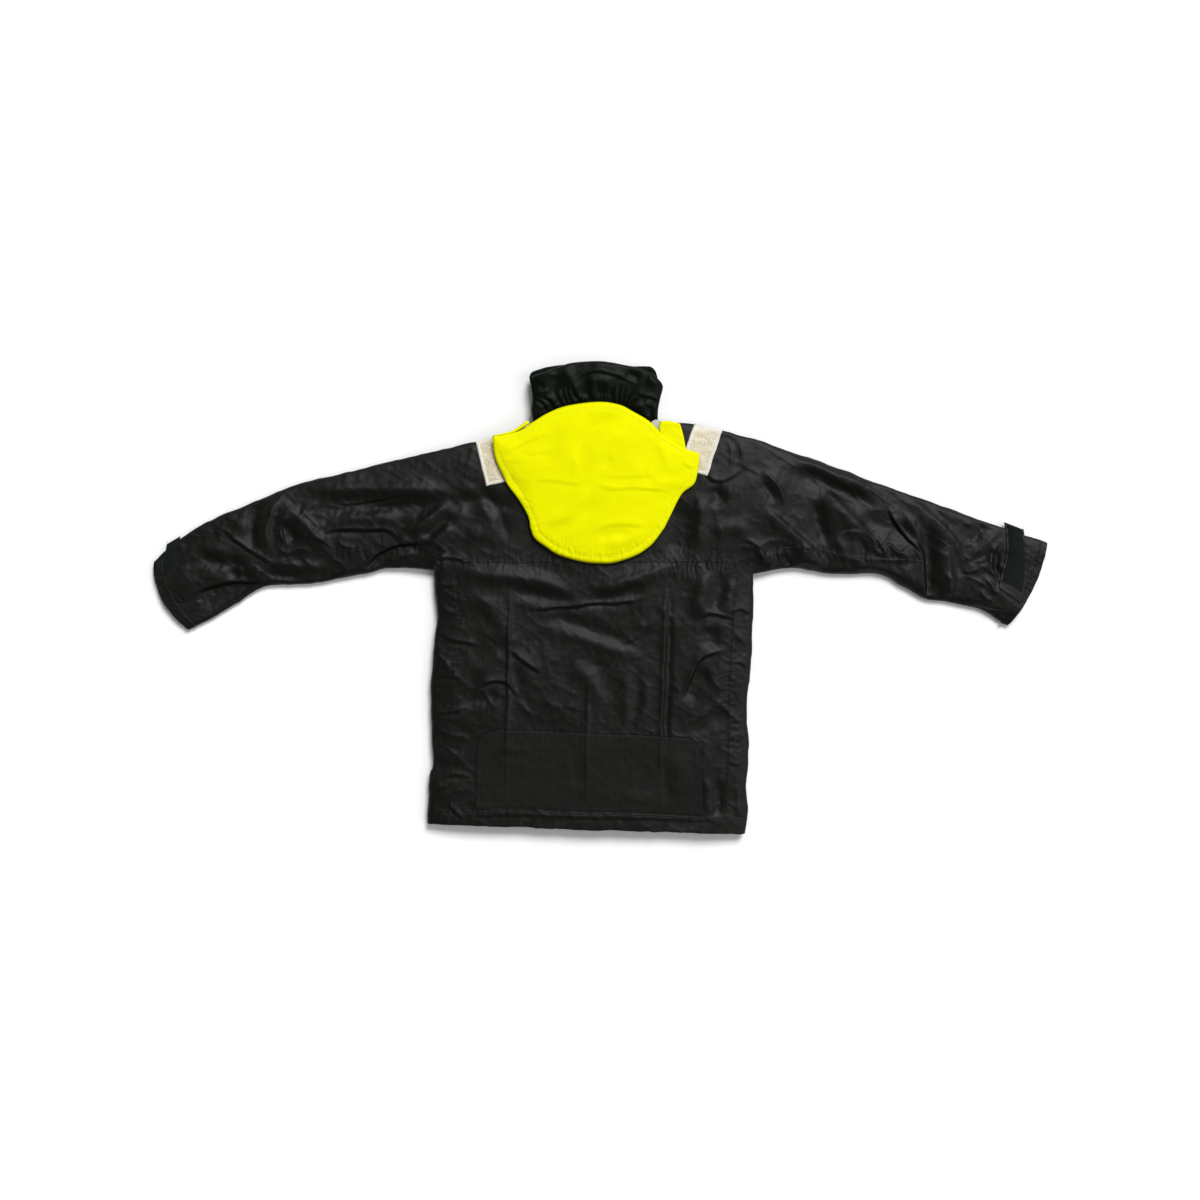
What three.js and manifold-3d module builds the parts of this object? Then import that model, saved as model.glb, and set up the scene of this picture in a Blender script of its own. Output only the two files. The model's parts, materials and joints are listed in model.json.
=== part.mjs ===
// An offshore sailing jacket laid flat on a table with its back up: hood out over the back, collar
// flat above it, both sleeves out to the sides. Millimetres, +Z up, X across the sleeves, Y from the
// hem to the collar, origin on the table under the middle of the outline.
// "Left" is the wearer's left, which is at -X.
import * as THREE from "three";
import { mergeVertices } from "three/addons/utils/BufferGeometryUtils.js";
import Module from "manifold-3d";

const wasm = await Module();
wasm.setup();

// ---------- driving dimensions ----------
const FABRIC = 2.4; // shell fabric, membrane and drop lining together
const THIN = 1.2; // lining mesh, tapes and patches
const GAP = 0.5; // between pieces that lie on each other
const CLEAR = 1.6; // running clearance round the shoulder and elbow

const NECK_Y = 324; // collar seam
const YOKE_Y = 68; // seam across the shoulder blades
const HEM = { left: [-316, -420], right: [266, -436], height: 26 };
const CHEST = { left: [-306, 44], right: [284, 44] };
const SIDE_SEAM = { left: [-279, -274], right: [233, 252] }; // x at the hem and at the chest

const FRONT_Z = 9.5; // underside of the two fronts, which lie on the pockets and the storm flap
const LINING_Z = FRONT_Z + FABRIC + GAP;
const BACK_LINING_Z = 22;
const SEAM_Z = 28; // top of the back at the side seams
const CHEST_Z = 31.5; // top of the back at its middle

const SHOULDER_LINE = { left: [[-124, 320], [-259, 284], [-338, 265]], right: [[109, 322], [252, 303], [338, 279]] };
const SHOULDER_FALL = 30; // how far from the shoulder line the back starts to fall
const SLEEVES = {
  left: {
    out: -1, shoulder: [-330, 161], shoulderHalf: 104, elbow: [-607, 110], elbowHalf: 83,
    cuffTop: [-828, 66], cuffBottom: [-761, -58], bowTop: 16, bowBottom: 0, swing: [-12, 28], bend: [-12, 22],
  },
  right: {
    out: 1, shoulder: [330, 167], shoulderHalf: 111, elbow: [594, 92], elbowHalf: 88,
    cuffTop: [828, 92], cuffBottom: [756, -50], bowTop: 5, bowBottom: 9, swing: [-12, 28], bend: [-12, 22],
  },
};
const SLEEVE_TOP = { shoulder: 25, elbow: 23, cuff: 20 };
const SLEEVE_UNDER = 2.4; // under panel of a sleeve, which lies on the table

const COLLAR = { x: -8, half: 116, flare: 7, tip: 436, corner: 18, wall: 2.4, fleece: 3, low: FRONT_Z, seam: 32, top: 40 };
const HOOD = { under: 35.2, crown: 52, mouth: 48 };
const HOOD_OUTLINE = {
  bottom: [[-192, 262], [-150, 185], [-122, 112], [-75, 79], [2, 64], [67, 79], [104, 110], [150, 191], [182, 262]],
  top: [[-196, 298], [-148, 309], [-95, 341], [-4, 361], [61, 343], [117, 301], [181, 268]],
};

const ZIP = { x: -8, tape: 14, bottom: -392, teeth: 3.2, slit: 0.8 };
const STORM_FLAP = { seam: -56, edge: 32, bottom: -398, top: 312, thick: 2.2 };
const CORD = { left: -270, right: 222, y: 12, z: 11.9 };
const LOCK = { radius: 4.2, bore: 2.6, length: 16, z: 19.2 };
const POCKET = { wide: 150, tall: 170, middle: -262, depth: 7, wall: 1.6, flap: 66 };

const colours = {
  shell: 0x26271f, seat: 0x20211e, hood: 0xf4f400, reflector: 0xc9c3b0, loop: 0x14241b,
  lining: 0x2b2e33, fleece: 0x191b1d, trim: 0x131413, metal: 0x8f9296, grey: 0xb9bbb6,
};
const material = (colour, roughness = 0.7, metalness = 0) =>
  new THREE.MeshStandardMaterial({ color: colours[colour], roughness, metalness, flatShading: true });

// ---------- small maths ----------
const lerp = (a, b, t) => a.map((x, i) => x + (b[i] - x) * t);
const mix = (a, b, t) => a + (b - a) * t;
const clamp = (x) => Math.min(1, Math.max(0, x));
const signedPower = (x, p) => Math.sign(x) * Math.pow(Math.abs(x), p);
const dome = (t, p = 3) => Math.pow(1 - Math.pow(Math.min(1, Math.abs(2 * t - 1)), p), 1 / p);
const radians = THREE.MathUtils.degToRad;
const degrees = THREE.MathUtils.radToDeg;

// A curve through a few points, as t -> [x, y].
function through(points) {
  if (points.length === 2) return (t) => lerp(points[0], points[1], t);
  const curve = new THREE.CatmullRomCurve3(points.map(([x, y]) => new THREE.Vector3(x, y, 0)), false, "centripetal");
  return (t) => {
    const p = curve.getPointAt(t);
    return [p.x, p.y];
  };
}

const arc = (centre, radius, from, to) => (t) => {
  const a = radians(mix(from, to, t));
  return [centre[0] + radius * Math.cos(a), centre[1] + radius * Math.sin(a)];
};

// A four-sided patch from its boundary curves: (u, v) -> [x, y].
function patch(bottom, top, left, right) {
  const corners = [bottom(0), bottom(1), top(0), top(1)];
  return (u, v) => {
    const [b, t, l, r] = [bottom(u), top(u), left(v), right(v)];
    return [0, 1].map((k) => (1 - v) * b[k] + v * t[k] + (1 - u) * l[k] + u * r[k] -
      (1 - v) * mix(corners[0][k], corners[1][k], u) - v * mix(corners[2][k], corners[3][k], u));
  };
}

// ---------- solids ----------
// A closed wall of cloth between two surfaces (u, v) -> [x, y, z]. A hoop closes on itself in v.
function between(upper, lower, nu, nv, { spaceU = (t) => t, spaceV = (t) => t, hoop = false } = {}) {
  const positions = [];
  const index = [];
  const across = hoop ? nv : nv + 1;
  for (const surface of [upper, lower])
    for (let i = 0; i <= nu; i++)
      for (let j = 0; j < across; j++) positions.push(...surface(spaceU(i / nu), spaceV(j / nv)));
  const at = (layer, i, j) => (layer * (nu + 1) + i) * across + (j % across);
  const quad = (a, b, c, d) => index.push(a, b, c, a, c, d);
  for (let i = 0; i < nu; i++)
    for (let j = 0; j < nv; j++) {
      quad(at(0, i, j), at(0, i + 1, j), at(0, i + 1, j + 1), at(0, i, j + 1));
      quad(at(1, i, j), at(1, i, j + 1), at(1, i + 1, j + 1), at(1, i + 1, j));
    }
  for (let i = 0; i < nu && !hoop; i++) {
    quad(at(1, i, 0), at(1, i + 1, 0), at(0, i + 1, 0), at(0, i, 0));
    quad(at(0, i, nv), at(0, i + 1, nv), at(1, i + 1, nv), at(1, i, nv));
  }
  for (let j = 0; j < nv; j++) {
    quad(at(0, 0, j), at(0, 0, j + 1), at(1, 0, j + 1), at(1, 0, j));
    quad(at(1, nu, j), at(1, nu, j + 1), at(0, nu, j + 1), at(0, nu, j));
  }
  const geometry = new THREE.BufferGeometry().setIndex(index)
    .setAttribute("position", new THREE.Float32BufferAttribute(positions, 3));
  return facingOut(geometry);
}

function facingOut(geometry) {
  const p = geometry.attributes.position;
  const index = geometry.index.array;
  const corners = [new THREE.Vector3(), new THREE.Vector3(), new THREE.Vector3()];
  let volume = 0;
  for (let i = 0; i < index.length; i += 3) {
    const [a, b, c] = corners.map((v, k) => v.fromBufferAttribute(p, index[i + k]));
    volume += a.dot(b.cross(c));
  }
  for (let i = 0; i < index.length && volume < 0; i += 3) [index[i + 1], index[i + 2]] = [index[i + 2], index[i + 1]];
  return geometry;
}

// A sheet over a plan, with its top at height([x, y], u, v).
const sheet = (plan, height, nu, nv, thickness = FABRIC, spacing = {}) => {
  const surface = (drop) => (u, v) => {
    const point = plan(u, v);
    return [...point, height(point, u, v) - drop];
  };
  return between(surface(0), surface(thickness), nu, nv, spacing);
};

// A flat plate with the outline of the points, from one height up to another.
const plate = (points, low, high) =>
  new THREE.ExtrudeGeometry(new THREE.Shape(points.map(([x, y]) => new THREE.Vector2(x, y))),
    { depth: high - low, bevelEnabled: false }).translate(0, 0, low);

const block = (low, high) =>
  new THREE.BoxGeometry(...high.map((h, i) => h - low[i])).translate(...high.map((h, i) => (h + low[i]) / 2));

function toSolid(geometry) {
  const bare = new THREE.BufferGeometry().setAttribute("position", geometry.attributes.position);
  if (geometry.index) bare.setIndex(geometry.index);
  const merged = mergeVertices(bare, 1e-4);
  return new wasm.Manifold(new wasm.Mesh({
    numProp: 3,
    vertProperties: new Float32Array(merged.attributes.position.array),
    triVerts: new Uint32Array(merged.index.array),
  }));
}

function toGeometry(solid) {
  const mesh = solid.getMesh();
  return new THREE.BufferGeometry()
    .setAttribute("position", new THREE.BufferAttribute(mesh.vertProperties, 3))
    .setIndex(new THREE.BufferAttribute(mesh.triVerts, 1));
}

const cut = (geometry, ...tools) =>
  toGeometry(tools.reduce((solid, tool) => solid.subtract(toSolid(tool)), toSolid(geometry)));
const join = (...pieces) => toGeometry(pieces.map(toSolid).reduce((sum, piece) => sum.add(piece)));

const jacket = new THREE.Group();
function add(name, geometry, look) {
  geometry.deleteAttribute("normal");
  geometry.deleteAttribute("uv");
  geometry.computeVertexNormals();
  const mesh = new THREE.Mesh(geometry, look);
  mesh.name = name;
  jacket.add(mesh);
}

// ---------- sleeves: plan ----------
const unit = (from, to) => new THREE.Vector2(to[0] - from[0], to[1] - from[1]).normalize();
const beside = (point, along, distance) => [point[0] - along.y * distance, point[1] + along.x * distance];
const bowed = (from, to, bow) => {
  const middle = beside(lerp(from, to, 0.5), unit(from, to), bow);
  return bow ? through([from, middle, to]) : through([from, to]);
};

// One length of sleeve, round about the joint that it starts at. In its plan u runs outwards and v up.
function sleeveLength(joint, half, far, farTop, farBottom, out, bows = [0, 0]) {
  const along = unit(joint, far);
  const back = degrees(Math.atan2(along.y, along.x)) + 180;
  const bottom = beside(joint, along, -half * out);
  const top = beside(joint, along, half * out);
  const start = arc(joint, half, back + 90 * out, back - 90 * out);
  const plan = patch(bowed(bottom, farBottom, bows[0] * -out), bowed(top, farTop, bows[1] * out), start,
    through([farBottom, farTop]));
  return { start, plan, width: 2 * half };
}

function upperArm(s, grow = 0) {
  const along = unit(s.shoulder, s.elbow);
  const half = (s.elbowHalf + grow) * s.out;
  return sleeveLength(s.shoulder, s.shoulderHalf + grow, s.elbow, beside(s.elbow, along, half),
    beside(s.elbow, along, -half), s.out);
}

function forearm(s, grow = 0) {
  const wide = unit(s.cuffTop, s.cuffBottom);
  const top = beside(s.cuffTop, new THREE.Vector2(wide.y, -wide.x), -grow);
  const bottom = beside(s.cuffBottom, new THREE.Vector2(wide.y, -wide.x), grow);
  return sleeveLength(s.elbow, s.elbowHalf + grow, lerp(s.cuffTop, s.cuffBottom, 0.5), top, bottom, s.out,
    [s.bowBottom, s.bowTop]);
}

// The tall space that a length of sleeve passes through as it turns about its joint.
function swept(length, joint, radius, range) {
  const steps = [0, 0.25, 0.5, 0.75, 1];
  const outline = [...steps.map((t) => length.plan(1 - t, 0)), ...steps.map((t) => length.plan(t, 1))];
  const slab = plate(outline, -20, 80);
  const turned = [range[0], 0, range[1]].map((angle) => slab.clone()
    .translate(-joint[0], -joint[1], 0).rotateZ(radians(angle)).translate(joint[0], joint[1], 0));
  const round = new THREE.CylinderGeometry(radius, radius, 100, 44).rotateX(Math.PI / 2).translate(...joint, 30);
  return join(round, ...turned);
}

// A positive turn lowers a sleeve towards the hem.
const turns = (s, range) => range.map((angle) => angle * -s.out);
const sweeps = Object.fromEntries(Object.entries(SLEEVES).map(([side, s]) => [side, {
  shoulder: swept(upperArm(s, CLEAR), s.shoulder, s.shoulderHalf + CLEAR, turns(s, s.swing)),
  elbow: swept(forearm(s, CLEAR), s.elbow, s.elbowHalf + CLEAR, turns(s, s.bend)),
}]));
const armholes = [sweeps.left.shoulder, sweeps.right.shoulder];

// ---------- body ----------
const onLine = ([a, b], t) => mix(a, b, t);
const bodyEdge = (side, y) => mix(HEM[side][0], CHEST[side][0], (y - HEM.left[1]) / (CHEST.left[1] - HEM.left[1]));
const sideSeam = (side, y) => onLine(SIDE_SEAM[side], (y - HEM.left[1]) / (CHEST.left[1] - HEM.left[1]));
const hemY = (x) => mix(HEM.left[1], HEM.right[1], (x - HEM.left[0]) / (HEM.right[0] - HEM.left[0]));
const bandY = (x) => hemY(x) + HEM.height + GAP;

function shoulderY(x) {
  const line = x < 0 ? SHOULDER_LINE.left : SHOULDER_LINE.right;
  const i = Math.abs(x) < Math.abs(line[1][0]) ? 0 : 1;
  return mix(line[i][1], line[i + 1][1], (x - line[i][0]) / (line[i + 1][0] - line[i][0]));
}

// The upper face of the back. It falls away to the front along the shoulders.
function backTop([x, y]) {
  const across = (x - SIDE_SEAM.left[1]) / (SIDE_SEAM.right[1] - SIDE_SEAM.left[1]);
  const crown = mix(SEAM_Z - 3, CHEST_Z, dome(clamp(across), 2.6));
  const inside = clamp((shoulderY(x) - y) / SHOULDER_FALL);
  const nearNeck = x > SHOULDER_LINE.left[0][0] && x < SHOULDER_LINE.right[0][0];
  const fall = nearNeck ? 1 : Math.sqrt(1 - (1 - inside) ** 2);
  return mix(LINING_Z + FABRIC, crown, fall);
}

function backPanel() {
  const plan = (u, v) => {
    const y = mix(-395, YOKE_Y, v);
    const x = mix(sideSeam("left", y) + 1, sideSeam("right", y) - 1, u);
    return [x, mix(bandY(x), YOKE_Y - GAP, v)];
  };
  return cut(sheet(plan, backTop, 8, 4), ...armholes);
}

function backYoke() {
  const neck = [[-70, NECK_Y - 1], [50, NECK_Y - 1]];
  const top = [...SHOULDER_LINE.left].reverse().concat(neck, SHOULDER_LINE.right);
  const [left, right] = [[-318, YOKE_Y], [318, YOKE_Y]];
  const plan = patch(through([left, right]), through(top), through([left, top[0]]),
    through([right, top[top.length - 1]]));
  return cut(sheet(plan, backTop, 14, 7, FABRIC, { spaceV: (t) => 1 - (1 - t) ** 1.7 }), ...armholes);
}

// A side panel wraps from the back seam round the edge to the front seam: v runs round its section.
function sidePanel(side) {
  const middle = (FRONT_Z + SEAM_Z) / 2;
  const section = (inset) => (u, v) => {
    const low = Math.max(bandY(HEM[side][0]), bandY(SIDE_SEAM[side][0])) + GAP;
    const y = mix(low, 46, u);
    const seam = sideSeam(side, y);
    const a = radians(mix(90, -90, v));
    const reach = bodyEdge(side, y) - seam - Math.sign(bodyEdge(side, y)) * inset;
    return [seam + reach * signedPower(Math.cos(a), 0.6), y,
      middle + ((SEAM_Z - FRONT_Z) / 2 - inset) * signedPower(Math.sin(a), 0.6)];
  };
  return cut(between(section(0), section(FABRIC), 4, 8), ...armholes);
}

// One front, from the hem to the neck and out to the armhole. It lies flat under the jacket.
function frontPanel(side, low, high, inset = 0) {
  const out = side === "left" ? -1 : 1;
  const centre = ZIP.x + out * (ZIP.tape + GAP + inset);
  const seam = (y) => sideSeam(side, y) - out * (1 + inset);
  const [neck, tip, shoulder] = SHOULDER_LINE[side];
  const points = [[centre, bandY(centre) + inset], [seam(-390), bandY(seam(-390)) + inset], [seam(48), 48],
    [out * 318, YOKE_Y], [shoulder[0], shoulder[1] - inset], [tip[0], tip[1] - inset],
    [neck[0], neck[1] - inset - 1], [centre, NECK_Y - 2 - inset]];
  return cut(plate(points, low, high), ...armholes);
}

// Shears a piece that was made level along the slant of the hem.
function slantToHem(geometry) {
  const p = geometry.attributes.position;
  for (let i = 0; i < p.count; i++) p.setY(i, p.getY(i) + hemY(p.getX(i)));
  return geometry;
}

// The hem is a folded channel all round the opening, with a shock cord running in its front half.
function buildHem() {
  const loop = (inset, low, high, corner) => {
    const [left, right, middle] = [HEM.left[0] + inset, HEM.right[0] - inset, (low + high) / 2];
    return [[left + corner, low], [right - corner, low], [right, middle - 2], [right, middle + 2],
      [right - corner, high], [left + corner, high], [left, middle + 2], [left, middle - 2]]
      .map(([x, z]) => new THREE.Vector2(x, z));
  };
  const shape = new THREE.Shape(loop(0, FRONT_Z, SEAM_Z + 1.5, 12));
  shape.holes.push(new THREE.Path(loop(8, FRONT_Z + 4.4, SEAM_Z - 1.9, 7)));
  const ring = new THREE.ExtrudeGeometry(shape, { depth: HEM.height, bevelEnabled: false })
    .rotateX(Math.PI / 2).translate(0, HEM.height, 0);
  const way = block([CORD.left - 3, CORD.y - 2, CORD.z - 2], [CORD.right + 3, CORD.y + 2, CORD.z + 2]);
  const exits = [CORD.left, CORD.right].map((x) => block([x - 3, CORD.y - 2, CORD.z], [x + 3, CORD.y + 2, 20]));
  add("hem_channel", slantToHem(cut(ring, way, ...exits)), material("shell"));
  const cord = new THREE.CylinderGeometry(1.25, 1.25, CORD.right - CORD.left, 8).rotateZ(Math.PI / 2)
    .translate((CORD.left + CORD.right) / 2, CORD.y, CORD.z);
  add("hem_shock_cord", slantToHem(cord), material("trim"));
  for (const [side, x, out] of [["left", CORD.left, -1], ["right", CORD.right, 1]]) {
    const y = hemY(x) + CORD.y;
    const barrel = new THREE.CylinderGeometry(LOCK.radius, LOCK.radius, LOCK.length, 20).rotateZ(Math.PI / 2);
    const bore = new THREE.CylinderGeometry(LOCK.bore, LOCK.bore, LOCK.length, 16).rotateZ(Math.PI / 2)
      .translate(-out * 4, 0, 0);
    add(`${side}_cord_lock`, cut(barrel, bore).translate(x, y, LOCK.z), material("trim", 0.4));
    const button = new THREE.CylinderGeometry(LOCK.bore - 0.4, LOCK.bore - 0.4, 9, 16).rotateZ(Math.PI / 2);
    add(`${side}_cord_lock_button`, button.translate(x - out * (LOCK.length / 2 + 1.5), y, LOCK.z),
      material("trim", 0.35));
  }
}
function buildBody() {
  const shell = material("shell");
  add("back_panel", backPanel(), shell);
  add("back_yoke", backYoke(), shell);
  for (const side of ["left", "right"]) {
    add(`${side}_side_panel`, sidePanel(side), shell);
    add(`${side}_front_panel`, frontPanel(side, FRONT_Z, FRONT_Z + FABRIC), shell);
    add(`${side}_front_lining`, frontPanel(side, LINING_Z, LINING_Z + THIN, 6), material("lining"));
  }
  const lining = [[-262, -386], [224, -400], [236, 40], [214, 268], [100, 286], [-112, 286], [-214, 252], [-262, 40]];
  add("back_lining", cut(plate(lining, BACK_LINING_Z, BACK_LINING_Z + THIN), ...armholes), material("lining"));
  const seat = patch(through([[-231, -390], [190, -402]]), through([[-198, -243], [158, -255]]),
    through([[-231, -390], [-228, -280], [-198, -243]]), through([[190, -402], [188, -290], [158, -255]]));
  add("seat_patch", sheet(seat, (point) => backTop(point) + GAP + THIN, 6, 4, THIN), material("seat", 0.9));
  const reflectors = { left: [[-229, 288], [-178, 302], [-158, 218], [-209, 205]],
    right: [[176, 324], [226, 311], [197, 226], [147, 240]] };
  for (const [side, [a, b, c, d]] of Object.entries(reflectors)) {
    const plan = patch(through([d, c]), through([a, b]), through([d, a]), through([c, b]));
    const top = (point) => backTop([point[0], Math.min(point[1], shoulderY(point[0]) - 4)]) + GAP + THIN + 1;
    add(`${side}_shoulder_reflector`, sheet(plan, top, 3, 6, THIN), material("reflector", 0.35));
  }
}

// ---------- sleeves: solids ----------
// The arched upper shell of a sleeve length over its flat under panel.
function sleeveShell(length, tops, grow = 0, wall = FABRIC, [u0, u1] = [0, 1], [a0, a1] = [180, 0], steps = [6, 10]) {
  const section = (inset) => (u, v) => {
    const t = mix(u0, u1, u);
    const a = radians(mix(a0, a1, v));
    const across = signedPower(Math.cos(a), 0.7) * (1 - 2 * (inset - grow) / length.width);
    const low = SLEEVE_UNDER + GAP;
    const high = mix(tops[0], tops[1], t) - low - inset + grow;
    return [...length.plan(t, 0.5 + across / 2), low + high * Math.pow(Math.sin(a), 0.7)];
  };
  return between(section(0), section(wall), ...steps);
}

function buildSleeves() {
  const shell = material("shell");
  for (const [side, s] of Object.entries(SLEEVES)) {
    const upper = upperArm(s);
    const lower = forearm(s);
    const lowerTops = [SLEEVE_TOP.elbow, SLEEVE_TOP.cuff];
    const under = (length) => sheet(length.plan, () => SLEEVE_UNDER, 4, 8, SLEEVE_UNDER);
    add(`${side}_upper_sleeve`, cut(sleeveShell(upper, [SLEEVE_TOP.shoulder, SLEEVE_TOP.elbow]), sweeps[side].elbow),
      shell);
    add(`${side}_upper_sleeve_under`, cut(under(upper), sweeps[side].elbow), shell);
    add(`${side}_forearm_sleeve`, sleeveShell(lower, lowerTops), shell);
    add(`${side}_forearm_sleeve_under`, under(lower), shell);
    add(`${side}_cuff_loop_patch`, sleeveShell(lower, lowerTops, GAP + THIN, THIN, [0.77, 0.89], [103, 36], [2, 6]),
      material("loop", 0.95));
    add(`${side}_cuff_tab`, sleeveShell(lower, lowerTops, 2 * (GAP + THIN), THIN, [0.76, 0.9], [105, 30], [2, 8]),
      material("loop", 0.85));
    add(`${side}_inner_cuff`, innerCuff(lower), material("trim", 0.5));
  }
}
// A soft flattened tube inside the sleeve end.
function innerCuff(length) {
  const hoop = (inset) => (u, v) => {
    const a = radians(360 * v);
    const t = mix(0.78, 0.97, u);
    const across = signedPower(Math.cos(a), 0.6) * (0.78 - 2 * inset / length.width);
    return [...length.plan(t, 0.5 + across / 2), 9.4 + (5.8 - inset) * signedPower(Math.sin(a), 0.6)];
  };
  return between(hoop(0), hoop(THIN), 2, 20, { hoop: true });
}

// ---------- collar and hood ----------
function collarSection(inset) {
  return (u, v) => {
    const a = radians(360 * v);
    const across = signedPower(Math.cos(a), 0.5);
    const half = COLLAR.half + COLLAR.flare * u - inset;
    const high = mix(COLLAR.seam, COLLAR.top, u);
    const tip = COLLAR.tip - COLLAR.corner * Math.abs(across) ** 3;
    return [COLLAR.x + across * half, mix(NECK_Y, tip, u),
      (COLLAR.low + high) / 2 + ((high - COLLAR.low) / 2 - inset) * signedPower(Math.sin(a), 0.5)];
  };
}

function collarTop([x, y]) {
  const u = clamp((y - NECK_Y) / (COLLAR.tip - NECK_Y));
  const high = mix(COLLAR.seam, COLLAR.top, u);
  const side = clamp(Math.abs(x - COLLAR.x) / (COLLAR.half + COLLAR.flare * u));
  return (COLLAR.low + high) / 2 + ((high - COLLAR.low) / 2) * (1 - side ** 4) ** 0.25;
}

function buildCollar() {
  add("collar_shell", between(collarSection(0), collarSection(COLLAR.wall), 4, 32, { hoop: true }), material("shell"));
  const inner = COLLAR.wall + GAP;
  add("collar_fleece", between(collarSection(inner), collarSection(inner + COLLAR.fleece), 4, 32, { hoop: true }),
    material("fleece", 1));
  const dart = (rise) => through([[-100, 346 + rise], [-55, 362 + rise], [-4, 369 + rise], [52, 360 + rise], [98, 340 + rise]]);
  const band = patch(dart(0), dart(7), through([[-100, 346], [-100, 353]]), through([[98, 340], [98, 347]]));
  add("collar_elastic", sheet(band, (point) => collarTop(point) + GAP + THIN, 10, 1, THIN), material("trim"));
  const tab = patch(through([[88, 327], [108, 327]]), through([[88, 336], [108, 336]]),
    through([[88, 327], [88, 336]]), through([[108, 327], [108, 336]]));
  add("collar_tab", sheet(tab, (point) => collarTop(point) + GAP + THIN + 1.5, 3, 1, THIN), material("grey"));
  add("hanger_loop", cut(block([-38, 326, 23.2], [22, 344, 24.6]), block([-32, 330, 10], [16, 339, 30])),
    material("trim"));
}

function hoodPlan() {
  const { bottom, top } = HOOD_OUTLINE;
  return patch(through(bottom), through(top), through([bottom[0], top[0]]), through([bottom.at(-1), top.at(-1)]));
}

function buildHood() {
  const yellow = material("hood", 0.6);
  const plan = hoodPlan();
  add("hood_under", sheet(plan, () => HOOD.under + 1.6, 10, 4, 1.6), yellow);
  const low = HOOD.under + 1.6 + GAP;
  const top = (point, u, v) => {
    const rise = Math.sqrt(1 - (1 - clamp(v / 0.5)) ** 2);
    const high = mix(HOOD.crown, HOOD.mouth, clamp((v - 0.5) / 0.5));
    return low + 1.6 + (high - low - 1.6) * rise * dome(u, 2.6);
  };
  add("hood_top", sheet(plan, top, 12, 8, 1.6, { spaceV: (t) => t ** 1.5 }), yellow);
  add("left_hood_strip", plate([[-139, 322], [-166, 308], [-198, 300.5], [-149, 311.5]], low - 1, low + 1), yellow);
  add("right_hood_strip", plate([[113, 324], [146, 321], [158, 284], [121, 303]], low - 1, low + 1), yellow);
}

// ---------- front closure ----------
function buildZip() {
  const z = FRONT_Z + FABRIC / 2;
  for (const [side, out] of [["left", -1], ["right", 1]]) {
    const near = ZIP.x + out * (ZIP.slit + ZIP.teeth + 0.4);
    const far = ZIP.x + out * ZIP.tape;
    const strip = (a, b, y0, y1, half) => block([Math.min(a, b), y0, z - half], [Math.max(a, b), y1, z + half]);
    add(`${side}_zip_tape`, strip(near, far, ZIP.bottom, NECK_Y - 2, 0.5), material("trim"));
    add(`${side}_zip_teeth`, strip(ZIP.x + out * ZIP.slit, near - out * 0.4, ZIP.bottom, NECK_Y - 2, 1.2),
      material("trim", 0.4));
  }
  const top = NECK_Y - 24;
  const sliderPlates = [-1, 1].map((s) => plate([[ZIP.x - 5.5, top], [ZIP.x - 6.5, top + 16], [ZIP.x + 6.5, top + 16],
    [ZIP.x + 5.5, top]], s < 0 ? z - 3.2 : z + 1.6, s < 0 ? z - 1.6 : z + 3.2));
  const web = block([ZIP.x - 0.4, top + 2, z - 2], [ZIP.x + 0.4, top + 15, z + 2]);
  add("zip_slider", join(...sliderPlates, web), material("metal", 0.35, 0.8));
  const pull = [[ZIP.x - 3, top - 14], [ZIP.x - 2.2, top + 10], [ZIP.x + 2.2, top + 10], [ZIP.x + 3, top - 14]];
  add("zip_pull", plate(pull, z - 5.2, z - 3.6), material("trim", 0.5));
  add("zip_box", block([ZIP.x - 5.5, ZIP.bottom - 9, z - 1.7], [ZIP.x + 5.5, ZIP.bottom - 0.5, z + 1.7]),
    material("trim", 0.4));
}

function buildFront() {
  const { seam, edge, bottom, top, thick } = STORM_FLAP;
  add("storm_flap", plate([[seam, bottom], [edge, bottom], [edge, top - 12], [edge - 12, top], [seam, top]], 0, thick),
    material("shell"));
  add("storm_flap_seam", block([seam, bottom, thick + GAP], [seam + 8, top, FRONT_Z - GAP]), material("shell"));
  add("storm_flap_hook", block([edge - 22, bottom + 20, thick + GAP], [edge - 4, top - 20, thick + GAP + THIN]),
    material("loop", 0.95));
  add("storm_flap_loop", block([edge - 22, bottom + 20, FRONT_Z - GAP - THIN], [edge - 4, top - 20, FRONT_Z - GAP]),
    material("loop", 0.95));
  for (const [side, x] of [["left", -166], ["right", 138]]) {
    const { wide, tall, middle, depth, wall, flap } = POCKET;
    const [low, high] = [[x - wide / 2, middle - tall / 2, FRONT_Z - GAP - depth], [x + wide / 2, middle + tall / 2, FRONT_Z - GAP]];
    const hollow = block([low[0] + wall, low[1] + wall, low[2] + wall], [high[0] - wall, high[1] + 5, high[2] + 5]);
    add(`${side}_cargo_pocket`, cut(block(low, high), hollow), material("shell"));
    const flapTop = high[1] + 14;
    add(`${side}_pocket_flap`, plate([[low[0] - 3, flapTop], [low[0] - 3, flapTop - flap + 10],
      [low[0] + 8, flapTop - flap], [high[0] - 8, flapTop - flap], [high[0] + 3, flapTop - flap + 10],
      [high[0] + 3, flapTop]], 0, low[2] - GAP), material("shell"));
    add(`${side}_pocket_flap_seam`, block([low[0] - 3, flapTop - 5, low[2]], [high[0] + 3, flapTop, high[2]]),
      material("shell"));
  }
}

buildBody();
buildHem();
buildSleeves();
buildCollar();
buildHood();
buildZip();
buildFront();

export default jacket;
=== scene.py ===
"""The looks of an offshore sailing jacket that lies flat, back up, around its CAD frame."""

import json
import math

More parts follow.
